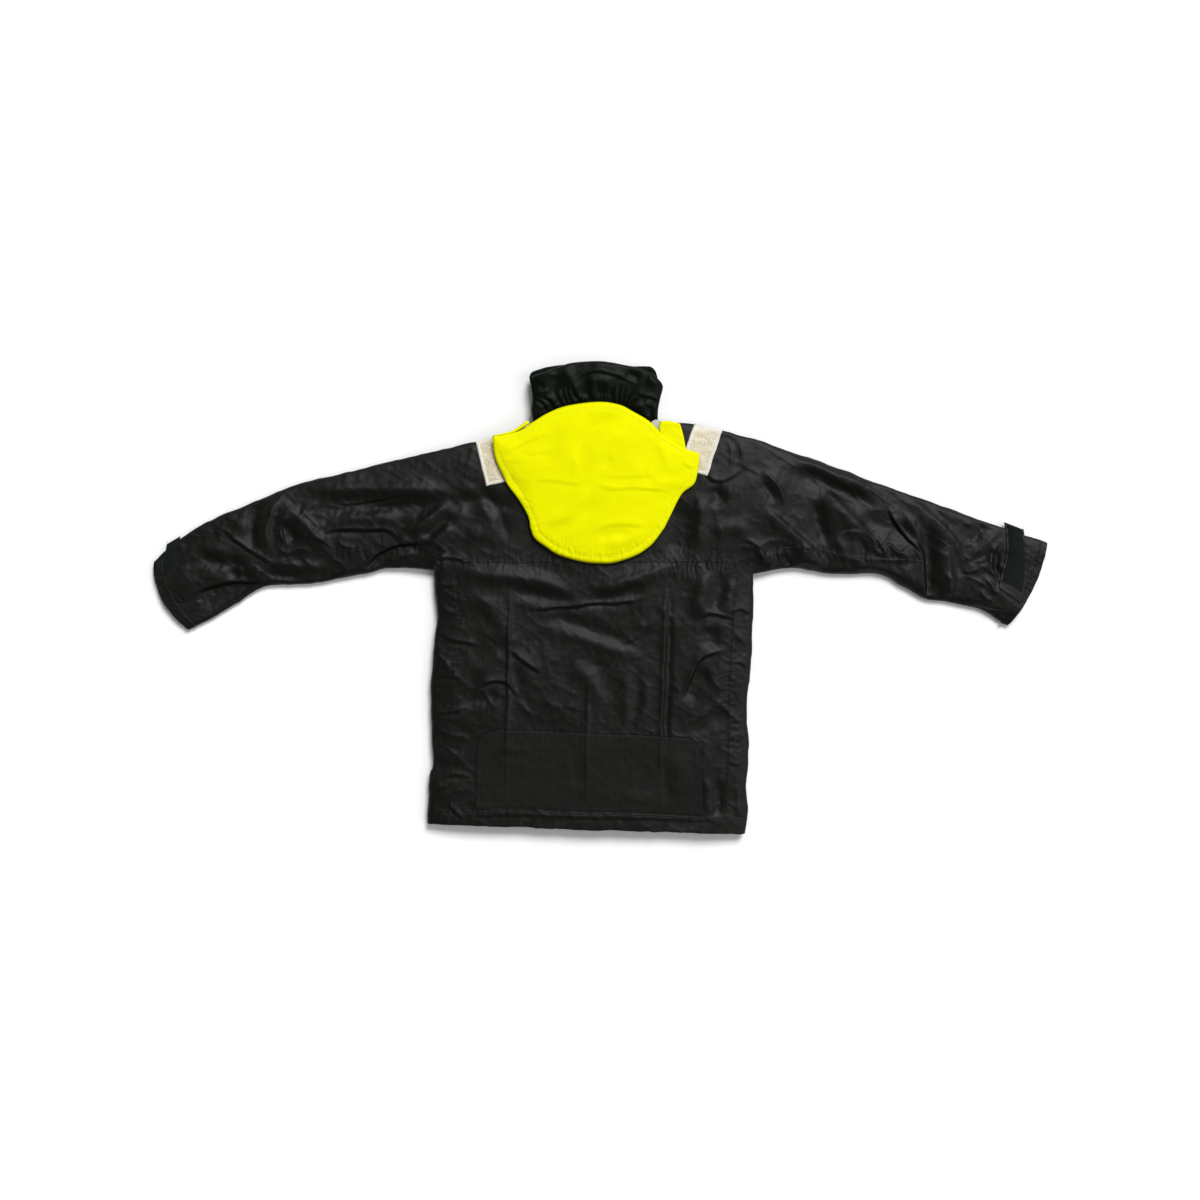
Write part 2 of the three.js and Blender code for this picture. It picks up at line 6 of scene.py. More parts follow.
import bmesh
import bpy
import numpy as np
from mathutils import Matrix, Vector


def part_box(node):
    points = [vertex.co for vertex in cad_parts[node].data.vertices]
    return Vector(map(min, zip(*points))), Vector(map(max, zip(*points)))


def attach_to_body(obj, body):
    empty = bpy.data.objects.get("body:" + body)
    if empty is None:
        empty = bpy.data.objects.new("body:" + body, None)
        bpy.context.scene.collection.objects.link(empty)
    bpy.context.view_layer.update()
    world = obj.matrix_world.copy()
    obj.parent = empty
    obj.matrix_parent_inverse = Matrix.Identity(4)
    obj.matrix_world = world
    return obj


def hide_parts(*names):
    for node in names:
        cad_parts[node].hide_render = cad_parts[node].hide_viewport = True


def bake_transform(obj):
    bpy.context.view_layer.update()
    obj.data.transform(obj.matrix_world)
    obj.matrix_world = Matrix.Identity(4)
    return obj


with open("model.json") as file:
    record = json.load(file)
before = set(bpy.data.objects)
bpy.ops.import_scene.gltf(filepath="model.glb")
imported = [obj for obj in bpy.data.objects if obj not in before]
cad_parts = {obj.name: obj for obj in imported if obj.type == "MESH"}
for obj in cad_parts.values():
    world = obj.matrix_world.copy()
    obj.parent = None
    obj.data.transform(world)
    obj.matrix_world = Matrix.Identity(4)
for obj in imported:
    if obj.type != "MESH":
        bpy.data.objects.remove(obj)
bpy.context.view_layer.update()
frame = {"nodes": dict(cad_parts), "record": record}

MM = 0.001
SIDES = ("left", "right")
CELL = 2.4  # mm, grid of the cloth


def xy(text):
    """A list of x, y points from text that gives each as x,y."""
    return [tuple(float(value) for value in point.split(",")) for point in text.split()]


# ---------- outlines, mm, as the cloth lies ----------
HEM_LEFT, HEM_RIGHT = (-319, -415), (268, -434)
BODY_LEFT = xy("-319,-415 -317,-330 -309,-300 -313,-190 -309,-97 -301,-30 -306,10 -307,50")
BODY_RIGHT = xy("268,-434 274,-390 271,-338 276,-300 273,-240 272,-186 279,-130 283,-45 284,0 284,45")
SHOULDER_TOP = xy("-259,283 -198,298 -124,322 -60,328 50,328 110,326 173,323 226,311 259,302")
SLEEVE = {
    "left": dict(
        top=xy("-259,283 -396,252 -544,215 -604,195 -656,173 -730,142 -779,111 -828,68"),
        bottom=xy("-307,50 -385,57 -444,43 -544,27 -604,25 -645,10 -693,-22 -761,-57")),
    "right": dict(
        top=xy("259,302 314,286 408,254 489,224 564,197 631,174 738,134 828,104"),
        bottom=xy("284,45 351,56 430,46 519,44 564,20 605,-1 649,-7 705,-20 755,-49")),
}
CUFF_SEAM = {"left": xy("-815,70 -794,30 -772,-11 -750,-50"),
             "right": xy("815,102 792,53 769,4 745,-45")}
CUFF_ENDS = (((-829, 66), (-759, -57), 17), ((756, -49), (828, 102), 13))  # from, to, swell outwards
HEM_BAND = 25
MIDDLE_X = -12  # the body's middle line

# ---------- heights, mm ----------
BODY_UNDER, SLEEVE_UNDER = 8.8, 0.6
BODY_EDGE, BODY_CROWN = 22.5, 8.0  # the top's height just inside the edge, and how much more it rises
SLEEVE_EDGE, SLEEVE_CROWN = 14.5, 9.0
EDGE_FALL, CROWN_FALL = 3.0, 3.5  # how much lower both are at the cuff
CROWN_REACH = 38
ROLL = 6.5  # how far in from the silhouette the cloth rolls over
FOLD_START = 13  # folds reach their full height this far inside the silhouette


# ---------- small maths ----------
def spline(points, samples):
    """Points spaced evenly along a smooth curve through the given ones."""
    p = np.array(points, float)
    ends = np.vstack([2 * p[0] - p[1], p, 2 * p[-1] - p[-2]])
    dense = []
    for a, b, c, d in zip(ends, ends[1:], ends[2:], ends[3:]):
        t = np.linspace(0, 1, 40, endpoint=False)[:, None]
        dense.append(0.5 * (2 * b + (c - a) * t + (2 * a - 5 * b + 4 * c - d) * t**2
                            + (3 * b - a - 3 * c + d) * t**3))
    dense = np.vstack(dense + [p[-1:]])
    run = np.concatenate([[0], np.cumsum(np.linalg.norm(np.diff(dense, axis=0), axis=1))])
    at = np.linspace(0, run[-1], samples)
    return np.column_stack([np.interp(at, run, dense[:, k]) for k in range(dense.shape[1])])


def coons(bottom, top, left, right):
    """A grid of plan points [rows, columns] from its four sides: rows go from bottom to top."""
    rows, columns = len(left), len(bottom)
    u = np.linspace(0, 1, columns)[None, :, None]
    v = np.linspace(0, 1, rows)[:, None, None]
    edges = (1 - v) * bottom[None] + v * top[None] + (1 - u) * left[:, None] + u * right[:, None]
    corners = ((1 - v) * ((1 - u) * bottom[0] + u * bottom[-1]) + v * ((1 - u) * top[0] + u * top[-1]))
    return edges - corners


def smooth(x, low=0.0, high=1.0):
    t = np.clip((x - low) / (high - low), 0, 1)
    return t * t * (3 - 2 * t)


def noise(x, y, cell, seed, turn=0.0, stretch=1.0):
    """Smooth noise from -1 to 1. Its features are cell mm wide and stretch times longer along turn degrees."""
    c, s = math.cos(math.radians(turn)), math.sin(math.radians(turn))
    a, b = (x * c + y * s) / (cell * stretch) + 731.3, (y * c - x * s) / cell + 377.7
    table = np.random.default_rng(seed).uniform(-1, 1, (256, 256))
    i, j = np.floor(a).astype(int), np.floor(b).astype(int)
    fa, fb = a - i, b - j
    fa, fb = fa**3 * (fa * (fa * 6 - 15) + 10), fb**3 * (fb * (fb * 6 - 15) + 10)
    at = lambda m, n: table[(i + m) % 256, (j + n) % 256]
    return ((at(0, 0) * (1 - fa) + at(1, 0) * fa) * (1 - fb) + (at(0, 1) * (1 - fa) + at(1, 1) * fa) * fb)


def along(x, y, path):
    """For each point: its signed distance from the path (left is positive) and how far along it is, 0 to 1."""
    line = spline(path, 24) if len(path) > 2 else spline(path, 2)
    best = np.full(x.shape, 1e9)
    side, far = np.zeros(x.shape), np.zeros(x.shape)
    lengths = np.linalg.norm(np.diff(line, axis=0), axis=1)
    run = np.concatenate([[0], np.cumsum(lengths)])
    for k, length in enumerate(lengths):
        d = (line[k + 1] - line[k]) / length
        px, py = x - line[k, 0], y - line[k, 1]
        t = np.clip(px * d[0] + py * d[1], 0, length)
        away = np.hypot(px - t * d[0], py - t * d[1])
        near = away < best
        best = np.where(near, away, best)
        side = np.where(near, np.sign(d[0] * py - d[1] * px), side)
        far = np.where(near, (run[k] + t) / run[-1], far)
    return best * side, far


def ruck(x, y, path, height, width, pitch, seed):
    """Small gathers across a seam: ripples that run off it and die away."""
    side, far = along(x, y, path)
    length = np.linalg.norm(np.diff(np.array(path, float), axis=0), axis=1).sum()
    wander = 0.9 * noise(x, y, pitch * 2.3, seed) + 0.5 * noise(x, y, pitch * 0.9, seed + 1)
    wave = np.sin(2 * np.pi * (far * length / pitch + wander))
    strength = 0.55 + 0.45 * noise(x, y, pitch * 3.1, seed + 2)
    ends = smooth(far, 0, 0.04) * smooth(1 - far, 0, 0.04)
    return height * wave * strength * np.exp(-np.abs(side) / width) * ends


STEEP_SHARE = 0.38  # the width of a ramp's steep flank over that of its wide one


def profile(kind, side, width):
    """Cross-section of a fold, 1 at its top. side is the distance from its path, left is positive."""
    if kind == "soft":
        return np.exp(-((side / width) ** 2))
    if kind == "ramp":
        return np.exp(-((side / np.where(side > 0, width, STEEP_SHARE * width)) ** 2))
    if kind == "crisp":
        return np.exp((1 - np.hypot(side, 1)) / width)
    left = 0.5 + 0.5 * np.tanh(side / 1.7)
    if kind == "drop":
        return -(1 - left) * np.exp(-((side / width) ** 2))
    falls = np.exp(-np.maximum(side, 0) / width)
    dips = 0.45 * np.exp(np.minimum(side, 0) / (0.6 * width))
    return left * falls - (1 - left) * dips


def near(x, y, path, reach):
    p = np.array(path, float)
    return ((x > p[:, 0].min() - reach) & (x < p[:, 0].max() + reach)
            & (y > p[:, 1].min() - reach) & (y < p[:, 1].max() + reach))


def folded(x, y, folds, blunt=0.3):
    """Height of a list of folds (kind, height, width, path) at each point, mm."""
    z = np.zeros(x.shape)
    for kind, height, width, path in folds:
        inside = near(x, y, path, 3.2 * width + 6)
        if inside.any():
            side, far = along(x[inside], y[inside], path)
            ends = smooth(far, 0, blunt) * smooth(1 - far, 0, blunt)
            z[inside] += height * profile(kind, side, width) * ends
    return z


def crinkle(x, y, cell, seed, turn, stretch):
    """Sharp little random creases, 0 to 1."""
    return (1 - np.abs(noise(x, y, cell, seed, turn, stretch))) ** 4


def fold_table(text):
    """Folds (kind, height, width, path) from rows of text in that order. Rows with # are notes."""
    rows = [line.split(maxsplit=3) for line in text.strip().splitlines() if line[0] != "#"]
    return [(kind, float(height), float(width), xy(path)) for kind, height, width, path in rows]


# ---------- how the cloth lies: kind, height, width and path of each fold, mm ----------
# A path's left side is the high side of a "step" and of a "drop", and the wide flank of a "ramp".
BACK_FOLDS = fold_table("""
soft -3.4 16  126,184 139,144 135,104 131,68
soft -3.0 11  210,206 222,190 227,168
soft -3.4 15  -268,172 -226,180 -182,176 -150,158
# packing creases
crisp 1.7 3.2  -165,62 -167,-60 -170,-200 -173,-392
step 0.9 6.0  -167,0 -170,-120 -172,-240
crisp 1.5 3.2  -22,-140 -23,-260 -25,-400
crisp 2.6 3.4  121,62 119,-60 115,-200 108,-408
soft -2.6 7.0  128,40 127,-100 122,-220 114,-330
# drapes that hang from the hood's edge
soft 4.6 15  -268,48 -170,40 -100,27 -38,6
soft 4.8 15  -34,8 30,24 98,46 150,62
soft -2.6 13  -172,18 -100,4 -38,-8
soft -2.6 13  -34,-8 30,4 95,22
step 3.6 11  -140,-21 -80,-19 -20,-12 52,-8 90,-2
soft -2.4 13  -122,-38 -45,-46 5,-66 72,-88
soft 2.0 12  -110,-62 -40,-70 20,-92 84,-112
step 1.8 8  40,-88 72,-70 86,-46
soft 2.6 16  -240,4 -196,-20 -172,-70 -168,-96
# the bent corner and the arch left of the middle
step 3.4 9  -170,-95 -142,-117 -104,-141
crisp 2.4 9  -168,-96 -192,-112 -230,-150
soft -2.2 12  -160,-118 -150,-150 -158,-176
step 3.6 10  -228,-168 -200,-155 -172,-158 -151,-184
soft -2.4 12  -262,-196 -220,-184 -180,-176
crisp 1.3 4.0  -221,-163 -205,-186 -187,-212
crisp 1.2 4.0  -161,-184 -138,-202 -116,-224
crisp 0.8 4.0  -106,-183 -84,-198 -67,-202
step 0.9 6.0  -70,-199 -40,-206 -18,-213
soft 2.2 15  -60,-110 -20,-150 6,-206
soft -1.6 15  -30,-100 8,-140 20,-200
soft 1.6 11  46,-120 50,-170 44,-238
soft -1.3 10  66,-130 68,-180 62,-236
soft 1.4 9  88,-150 84,-196 72,-240
# the hollows right of the middle
soft 3.6 15  196,58 190,20 182,-16 174,-40
soft -3.4 15  226,48 222,10 204,-28
soft 2.6 13  244,40 238,6 226,-30
step 3.2 10  176,-44 198,-30 226,-34 254,-40
soft -3.6 14  196,-50 206,-74 202,-96
step 4.4 13  150,-190 166,-150 188,-112 236,-95
soft -3.4 17  156,-196 176,-160 206,-130
crisp 1.8 6.0  243,-176 204,-206 156,-243
crisp 1.5 5.0  216,-184 238,-212 274,-240
crisp 1.2 5.0  198,-132 214,-160 232,-172
soft -1.8 12  238,-200 214,-224 168,-256
soft 1.4 10  116,-30 96,-46 66,-58
soft 1.8 10  104,-10 132,-40 120,-66
# the lower back and the patch
soft -1.5 13  -46,-262 -40,-320 -44,-352
soft 1.8 15  140,-282 150,-330 132,-372
soft -1.8 12  114,-290 118,-340 126,-380
soft 1.1 10  -190,-272 -160,-282 -120,-276
soft -1.2 8  -186,-286 -160,-292 -128,-286
soft -2.6 10  214,-330 218,-370 216,-412
soft 1.8 9  196,-322 200,-366 202,-404
soft 1.2 12  40,-350 70,-366 100,-362
step 1.8 6  -300,-399 -100,-402 80,-407 262,-413
step 2.2 8  -284,-374 -268,-394 -248,-412
soft 1.4 12  -310,-300 -290,-290 -236,-300
step 1.6 7  -300,-332 -262,-326 -234,-330
# across the left side seam
step 2.4 8  -302,-62 -272,-78 -216,-90
step 1.8 7  -306,-150 -280,-144 -252,-152
crisp 1.5 5  -308,-96 -284,-118 -278,-140
step 1.6 7  -309,-206 -284,-212 -240,-200
crisp 1.3 5  -306,-236 -282,-248 -236,-262
step 1.8 8  -306,30 -286,22 -262,24
crisp 1.4 5  -300,-12 -282,-24 -256,-28
step 1.5 7  -316,-366 -292,-350 -276,-352
# across the right side seam
step 2.0 8  236,-30 258,-22 282,-34
crisp 1.4 5  244,-60 262,-76 280,-84
step 1.8 7  240,-124 258,-118 278,-134
crisp 1.4 5  236,-262 254,-250 272,-258
step 1.7 7  232,-300 252,-308 274,-300
crisp 1.5 6  250,-330 256,-370 254,-410
# around the hood, up to the shoulders
soft 2.2 12  -270,225 -230,190 -200,150 -180,90
soft -2.2 12  -236,212 -204,178 -180,140 -168,96
soft -2.8 14  150,176 160,140 152,96 140,70
soft 3.2 12  176,196 186,160 182,118 170,84
step 2.4 9  186,236 216,214 250,226 268,246
soft -2.4 11  206,204 214,186 206,166
soft 2.6 14  200,120 240,132 280,120
soft 2.0 14  -250,130 -220,118 -190,130
soft -2.0 12  -290,180 -250,172 -206,190
crisp 1.2 4  236,300 244,262 240,236
soft 1.6 9  262,292 268,262 262,236
""")
LEFT_FOLDS = fold_table("""
soft 4.6 15  -560,200 -490,203 -400,202 -310,199 -250,196
soft -5.0 17  -545,168 -480,170 -390,172 -300,170 -262,168
crisp 2.2 5  -524,188 -500,172 -450,168 -400,176 -330,184
step 2.8 8  -500,178 -470,172 -430,176 -370,188
soft 3.0 14  -500,146 -450,148 -400,150 -360,144
step 4.0 11  -520,112 -492,124 -440,125 -392,124 -370,98
soft 4.0 10  -268,178 -300,160 -330,134 -350,108
soft -3.6 10  -262,156 -288,140 -316,116 -330,100
soft 3.0 10  -270,136 -292,118 -312,96
crisp 2.6 6  -337,150 -352,128 -376,102
# the long overlap at the underarm
step -6.0 12  -306,103 -345,100 -378,96 -412,78 -446,44
crisp 2.4 6  -402,68 -370,78 -340,86
crisp 2.6 6  -344,112 -318,108 -290,92 -276,72
crisp 3.0 5  -306,78 -300,64 -308,54
crisp 3.0 5  -294,82 -288,66 -296,50
step 3.0 7  -316,64 -296,72 -262,70 -240,62
# the elbow
ramp 4.4 20  -610,80 -617,120 -611,152 -592,192
soft -3.6 13  -634,78 -643,120 -636,158 -612,192
step 3.4 8  -576,96 -586,118 -584,140 -566,152
soft -3.4 11  -584,142 -572,122 -562,102
ramp 4.2 24  -490,84 -512,106 -556,146 -602,192
crisp 2.2 5  -520,182 -548,160 -560,134
crisp 2.0 5  -556,168 -536,148 -512,126
crisp 2.0 5  -506,146 -520,128 -540,116
crisp 1.8 5  -600,98 -580,84 -556,92 -530,82
step 2.4 8  -566,102 -540,112 -514,106 -494,88
crisp 1.6 5  -552,78 -536,64 -512,54
crisp 1.5 5  -488,110 -474,98 -450,92
soft -3.0 11  -628,46 -590,42 -548,40
soft 2.4 10  -620,66 -580,62 -540,58 -500,66
# the forearm
step 3.2 10  -702,132 -676,108 -650,90 -606,61
crisp 1.7 6  -693,148 -698,132 -714,116
soft -3.4 12  -752,68 -710,66 -650,62
soft 2.2 12  -744,96 -712,92 -680,80
soft -3.2 9  -690,54 -668,42 -640,44
crisp 1.8 5  -668,62 -664,46 -672,34
crisp 1.6 5  -636,64 -634,48 -640,36
drop 5.5 60  -778,-8 -744,11 -721,20 -677,28 -604,28 -560,26
step 2.2 6  -770,-4 -752,8 -734,2
crisp 1.8 4  -760,14 -748,-2 -738,-14
soft 2.0 14  -700,150 -670,140 -650,120
soft 1.6 12  -780,60 -764,40 -752,20
""")
RIGHT_FOLDS = fold_table("""
crisp 3.4 8  292,236 318,219 336,194 343,162
soft -3.0 10  290,216 310,200 322,176
soft 5.0 18  330,262 390,246 450,220 530,190
soft -5.4 16  340,238 400,220 456,196 516,162
# the leaf
ramp 4.8 26  500,116 484,131 454,156 422,189 404,199
soft -5.0 14  404,184 402,150 414,112 424,96
soft -4.0 18  456,142 510,140 560,120 588,92
step 3.4 7  596,82 574,98 552,84 532,102 516,84 502,120 470,124 444,118 424,92
crisp 2.6 6  506,122 520,96 534,68
crisp 2.2 6  536,104 552,86 580,72
step 4.2 10  530,174 545,140 568,109 597,81
soft 3.0 10  560,160 580,130 600,100
# the bright ridge to the cuff and the shadow below it
ramp 4.6 22  667,56 660,98 640,124 608,154 580,180 560,204
soft -5.0 15  596,140 607,96 611,50 613,-8
ramp 4.6 28  640,-16 645,30 644,66 630,110
step 5.0 12  606,-14 601,34 597,84 580,112
soft 3.4 14  654,50 650,20 646,-4
crisp 2.6 7  668,62 694,84 726,112 748,130
crisp 2.4 7  668,56 700,62 730,72 742,90
soft -2.6 8  680,66 708,76 732,92
crisp 2.4 6  664,48 690,52 724,62
soft -3.0 9  684,100 700,118 708,140
crisp 1.8 5  668,142 700,130 712,110
soft 2.2 14  612,176 660,156 700,142
soft 4.0 46  652,-4 700,-4 750,-8 790,0
# beside the cuff tab
step 5.0 9  741,30 729,52 728,78 742,104
soft -3.6 6  740,36 734,60 738,90
crisp 2.6 5  706,42 722,26 732,10 738,26
crisp 1.8 5  700,20 712,2 730,-8
drop 4.5 50  690,-14 721,-19 744,-22 774,-32
# the underarm
ramp 4.6 20  426,46 388,88 347,126 318,152 290,172
crisp 2.4 6  250,96 280,92 312,104 350,106
crisp 2.6 6  262,112 292,96 306,70 330,58
crisp 3.0 6  282,92 300,76 296,58
crisp 3.0 6  306,88 318,70 312,52
crisp 2.6 6  326,92 334,76 350,62
soft -3.2 7  336,84 348,66 344,54
step 3.0 7  270,60 288,74 312,66
soft 2.4 12  360,84 392,66 420,56
crisp 1.8 5  420,84 462,74 520,70 590,70
soft 2.2 9  430,112 446,96 450,70
soft -2.2 8  476,116 488,92 486,62
soft 2.0 14  460,60 520,52 570,40
soft 2.4 16  556,60 570,40 590,20
""")
GATHERS = [  # a seam that puckers the cloth: height, how far the ripples run, their pitch, path
    (0.75, 15, 12, xy("-268,66 -120,66 20,66 246,66")),
    (1.15, 20, 10, [(104, 62), (180, 60), (252, 62)]),
    (0.65, 13, 11, xy("-273,31 -265,-49 -269,-129 -273,-250 -277,-390")),
    (0.65, 13, 11, xy("253,35 244,-45 239,-186 235,-290 232,-406")),
    (0.70, 11, 9, xy("-300,-394 -100,-397 80,-402 262,-410")),
    (0.55, 11, 12, xy("-190,-242 -100,-244 0,-248 152,-257")),
    (0.80, 13, 12, xy("-490,86 -430,88 -377,97 -318,96")),
    (0.80, 13, 12, xy("300,84 370,92 425,82 520,70 590,67")),
    (0.50, 9, 8, CUFF_SEAM["left"]),
    (0.55, 9, 8, CUFF_SEAM["right"]),
    (0.90, 16, 16, xy("-306,20 -303,-60 -309,-180 -312,-300 -316,-390")),
    (0.90, 16, 16, xy("283,20 279,-120 272,-220 274,-320 270,-400")),
]
FOLD_GAIN = 1.45


def creased(x, y):
    """Height of every fold, gather and crinkle of the back and the sleeves over the flat lie, mm."""
    z = FOLD_GAIN * (folded(x, y, BACK_FOLDS) + folded(x, y, LEFT_FOLDS) + folded(x, y, RIGHT_FOLDS))
    for k, (height, width, pitch, path) in enumerate(GATHERS):
        inside = near(x, y, path, 4 * width)
        if inside.any():
            z[inside] += ruck(x[inside], y[inside], path, height, width, pitch, 50 + 3 * k)
    sleeve = smooth(np.abs(x - MIDDLE_X), 260, 350)
    yoke = smooth(y, 40, 110)
    z += (1.8 + 0.5 * sleeve) * noise(x, y, 84, 3) + (1.1 + 0.2 * sleeve) * noise(x, y, 40, 4, 20, 1.8)
    z += ((0.8 + 0.3 * sleeve) * crinkle(x, y, 34, 5, 62, 2.6)
          + (0.7 + 0.1 * sleeve) * crinkle(x, y, 24, 6, -35, 2.2))
    z += 0.5 * crinkle(x, y, 13, 8, 80, 1.6)
    z += 0.3 * (1 + 0.6 * sleeve - 0.3 * yoke) * noise(x, y, 9, 7)
    return z


# ---------- meshes ----------
def new_mesh(name, vertices, faces):
    mesh = bpy.data.meshes.new(name)
    mesh.from_pydata([tuple(v) for v in vertices], [], [tuple(f) for f in faces])
    mesh.update()
    piece = bpy.data.objects.new(name, mesh)
    bpy.context.scene.collection.objects.link(piece)
    mesh.shade_smooth()
    return piece


def grid_faces(rows, columns, hoop=False, start=0):
    """Quads of a grid of vertices [rows, columns], counter-clockwise with rows up and columns to the right."""
    i, j = np.meshgrid(np.arange(rows - 1), np.arange(columns if hoop else columns - 1), indexing="ij")
    k = (j + 1) % columns
    quads = np.stack([i * columns + j, i * columns + k, (i + 1) * columns + k, (i + 1) * columns + j], axis=-1)
    return quads.reshape(-1, 4) + start


# ---------- plan of the back and the sleeves ----------
def edge_x(points):
    line = spline(points, 400)
    return lambda y: np.interp(y, line[:, 1], line[:, 0])


LEFT_X, RIGHT_X = edge_x(BODY_LEFT), edge_x(BODY_RIGHT)
NECK = (-124, 110)  # the silhouette is open between these, under the collar
shoulder = spline(SHOULDER_TOP, 300)
SILHOUETTE = [spline(BODY_LEFT, 120), spline(BODY_RIGHT, 120),
              shoulder[shoulder[:, 0] <= NECK[0]], shoulder[shoulder[:, 0] >= NECK[1]]]
SILHOUETTE += [spline(SLEEVE[side][edge], 160) for side in SIDES for edge in ("top", "bottom")]


def distance_to(lines, x, y, batch=6000):
    """How far each point is from the nearest of the lines, mm."""
    flat = np.column_stack([x.ravel(), y.ravel()])
    best = np.full(len(flat), 1e9)
    for line in lines:
        a, d = line[:-1], np.diff(line, axis=0)
        size = np.maximum((d**2).sum(1), 1e-9)
        for start in range(0, len(flat), batch):
            part = flat[start:start + batch]
            t = np.clip(((part[:, None] - a) * d).sum(2) / size, 0, 1)
            away = np.linalg.norm(part[:, None] - (a + t[..., None] * d), axis=2).min(1)
            best[start:start + batch] = np.minimum(best[start:start + batch], away)
    return best.reshape(x.shape)


def edge_distance(x, y):
    """How far inside the silhouette each point lies, mm."""
    return distance_to(SILHOUETTE, x, y)


def armhole(x, low, high):
    """0 on the body, 1 on the sleeves."""
    return smooth(np.abs(x - MIDDLE_X), low, high)


def under_level(x):
    return BODY_UNDER + (SLEEVE_UNDER - BODY_UNDER) * armhole(x, 290, 400)


def plateau(x, d):
    """Height of the unfolded top, d mm inside the silhouette."""
    on_sleeve = armhole(x, 240, 420)
    down_sleeve = np.clip((np.abs(x) - 330) / 480, 0, 1)
    edge = BODY_EDGE + (SLEEVE_EDGE - EDGE_FALL * down_sleeve - BODY_EDGE) * on_sleeve
    rise = BODY_CROWN + (SLEEVE_CROWN - CROWN_FALL * down_sleeve - BODY_CROWN) * on_sleeve
    return edge + rise * (1 - np.exp(-d / CROWN_REACH))


def top_height(x, y, d):
    """Height of the folded top, d mm inside the silhouette."""
    low, high = under_level(x), plateau(x, d)
    roll = np.sqrt(1 - (1 - np.clip(d / ROLL, 0, 1)) ** 2)
    return low + (high - low) * (0.5 + 0.5 * roll) + creased(x, y) * smooth(d, 0, FOLD_START)


def settled(points):
    """The swell of the cuffs and the small unevenness of the silhouette."""
    x, y = points[..., 0].copy(), points[..., 1].copy()
    for a, b, swell in CUFF_ENDS:
        run = np.subtract(b, a) / math.dist(a, b)
        t = ((x - a[0]) * run[0] + (y - a[1]) * run[1]) / math.dist(a, b)
        inside = (y - a[1]) * run[0] - (x - a[0]) * run[1]
        out = swell * np.clip(4 * t * (1 - t), 0, 1) * np.exp(-((np.maximum(inside, 0) / 26) ** 2))
        points[..., 0] += out * run[1]
        points[..., 1] -= out * run[0]
    points[..., 0] += 1.4 * noise(x, y, 34, 11) + 0.6 * noise(x, y, 13, 12)
    points[..., 1] += 1.4 * noise(x, y, 34, 13) + 0.6 * noise(x, y, 13, 14)
    return points


STATIONS = ROLL * (1 - np.cos(np.linspace(0, np.pi / 2, 7)))


def across(a, b, count):
    """Plan points on straight lines from edge a to edge b, closer together where the cloth rolls over."""
    width = np.linalg.norm(b - a, axis=1)[:, None]
    middle = np.linspace(0, 1, count)[1:-1][None]
    inset = np.repeat(STATIONS[None], len(a), 0)
    s = np.hstack([inset, ROLL + (width - 2 * ROLL) * middle, width - inset[:, ::-1]])
    return a[:, None] + ((b - a) / width)[:, None] * s[..., None]


def lifted(plan):
    """Plan points [.., 2] laid on the top of the cloth."""
    x, y = plan[..., 0], plan[..., 1]
    return settled(np.dstack([plan, top_height(x, y, edge_distance(x, y))]))


def underside(a, b, count, reach=None):
    """The lower half of the roll at edge b, the flat below, and the lower half of the roll at edge a.
    With a reach, it is the roll at edge a and a flat strip that wide instead."""
    width = np.linalg.norm(b - a, axis=1)[:, None]
    direction = ((b - a) / width)[:, None]
    turn = np.linspace(0, np.pi / 2, 6)[None, 1:]
    inset = np.repeat(ROLL * (1 - np.cos(turn)), len(a), 0)
    drop = np.repeat(1 - np.sin(turn), len(a), 0)
    if reach:
        s, rise = np.hstack([inset, np.full((len(a), 1), reach)]), np.hstack([drop, np.zeros((len(a), 1))])
    else:
        flat = ROLL + (width - 2 * ROLL) * np.linspace(0, 1, count)[None, 1:-1]
        s = np.hstack([width - inset, flat[:, ::-1], inset[:, ::-1]])
        rise = np.hstack([drop, np.zeros_like(flat), drop[:, ::-1]])
    plan = a[:, None] + direction * s[..., None]
    x = plan[..., 0]
    low = under_level(x)
    half = 0.5 * (plateau(x, np.zeros_like(x)) - low)
    return settled(np.dstack([plan, low + half * rise]))


# ---------- the grids ----------
def hoop_normals(p):
    """Normals of a grid whose columns run round in a hoop."""
    wide = np.concatenate([p[:, -1:], p, p[:, :1]], axis=1)
    n = np.cross(np.gradient(wide, axis=1)[:, 1:-1], np.gradient(p, axis=0))
    return n / np.maximum(np.linalg.norm(n, axis=2, keepdims=True), 1e-9)


def turned_in(p, thickness, depth, flip=1):
    """A hoop grid whose last row is an open end, with its cloth folded back inside over depth rows."""
    n = hoop_normals(p) * flip
    inward = p[-1] - p[-2]
    inward /= np.maximum(np.linalg.norm(inward, axis=1, keepdims=True), 1e-9)
    bend = [p[-1] - n[-1] * thickness * (1 - math.cos(t)) / 2 + inward * thickness * math.sin(t) / 2
            for t in np.linspace(0, math.pi, 6)[1:-1]]
    inner = [p[-k] - n[-k] * thickness for k in range(1, depth)]
    return np.concatenate([p, np.array(bend), np.array(inner)])


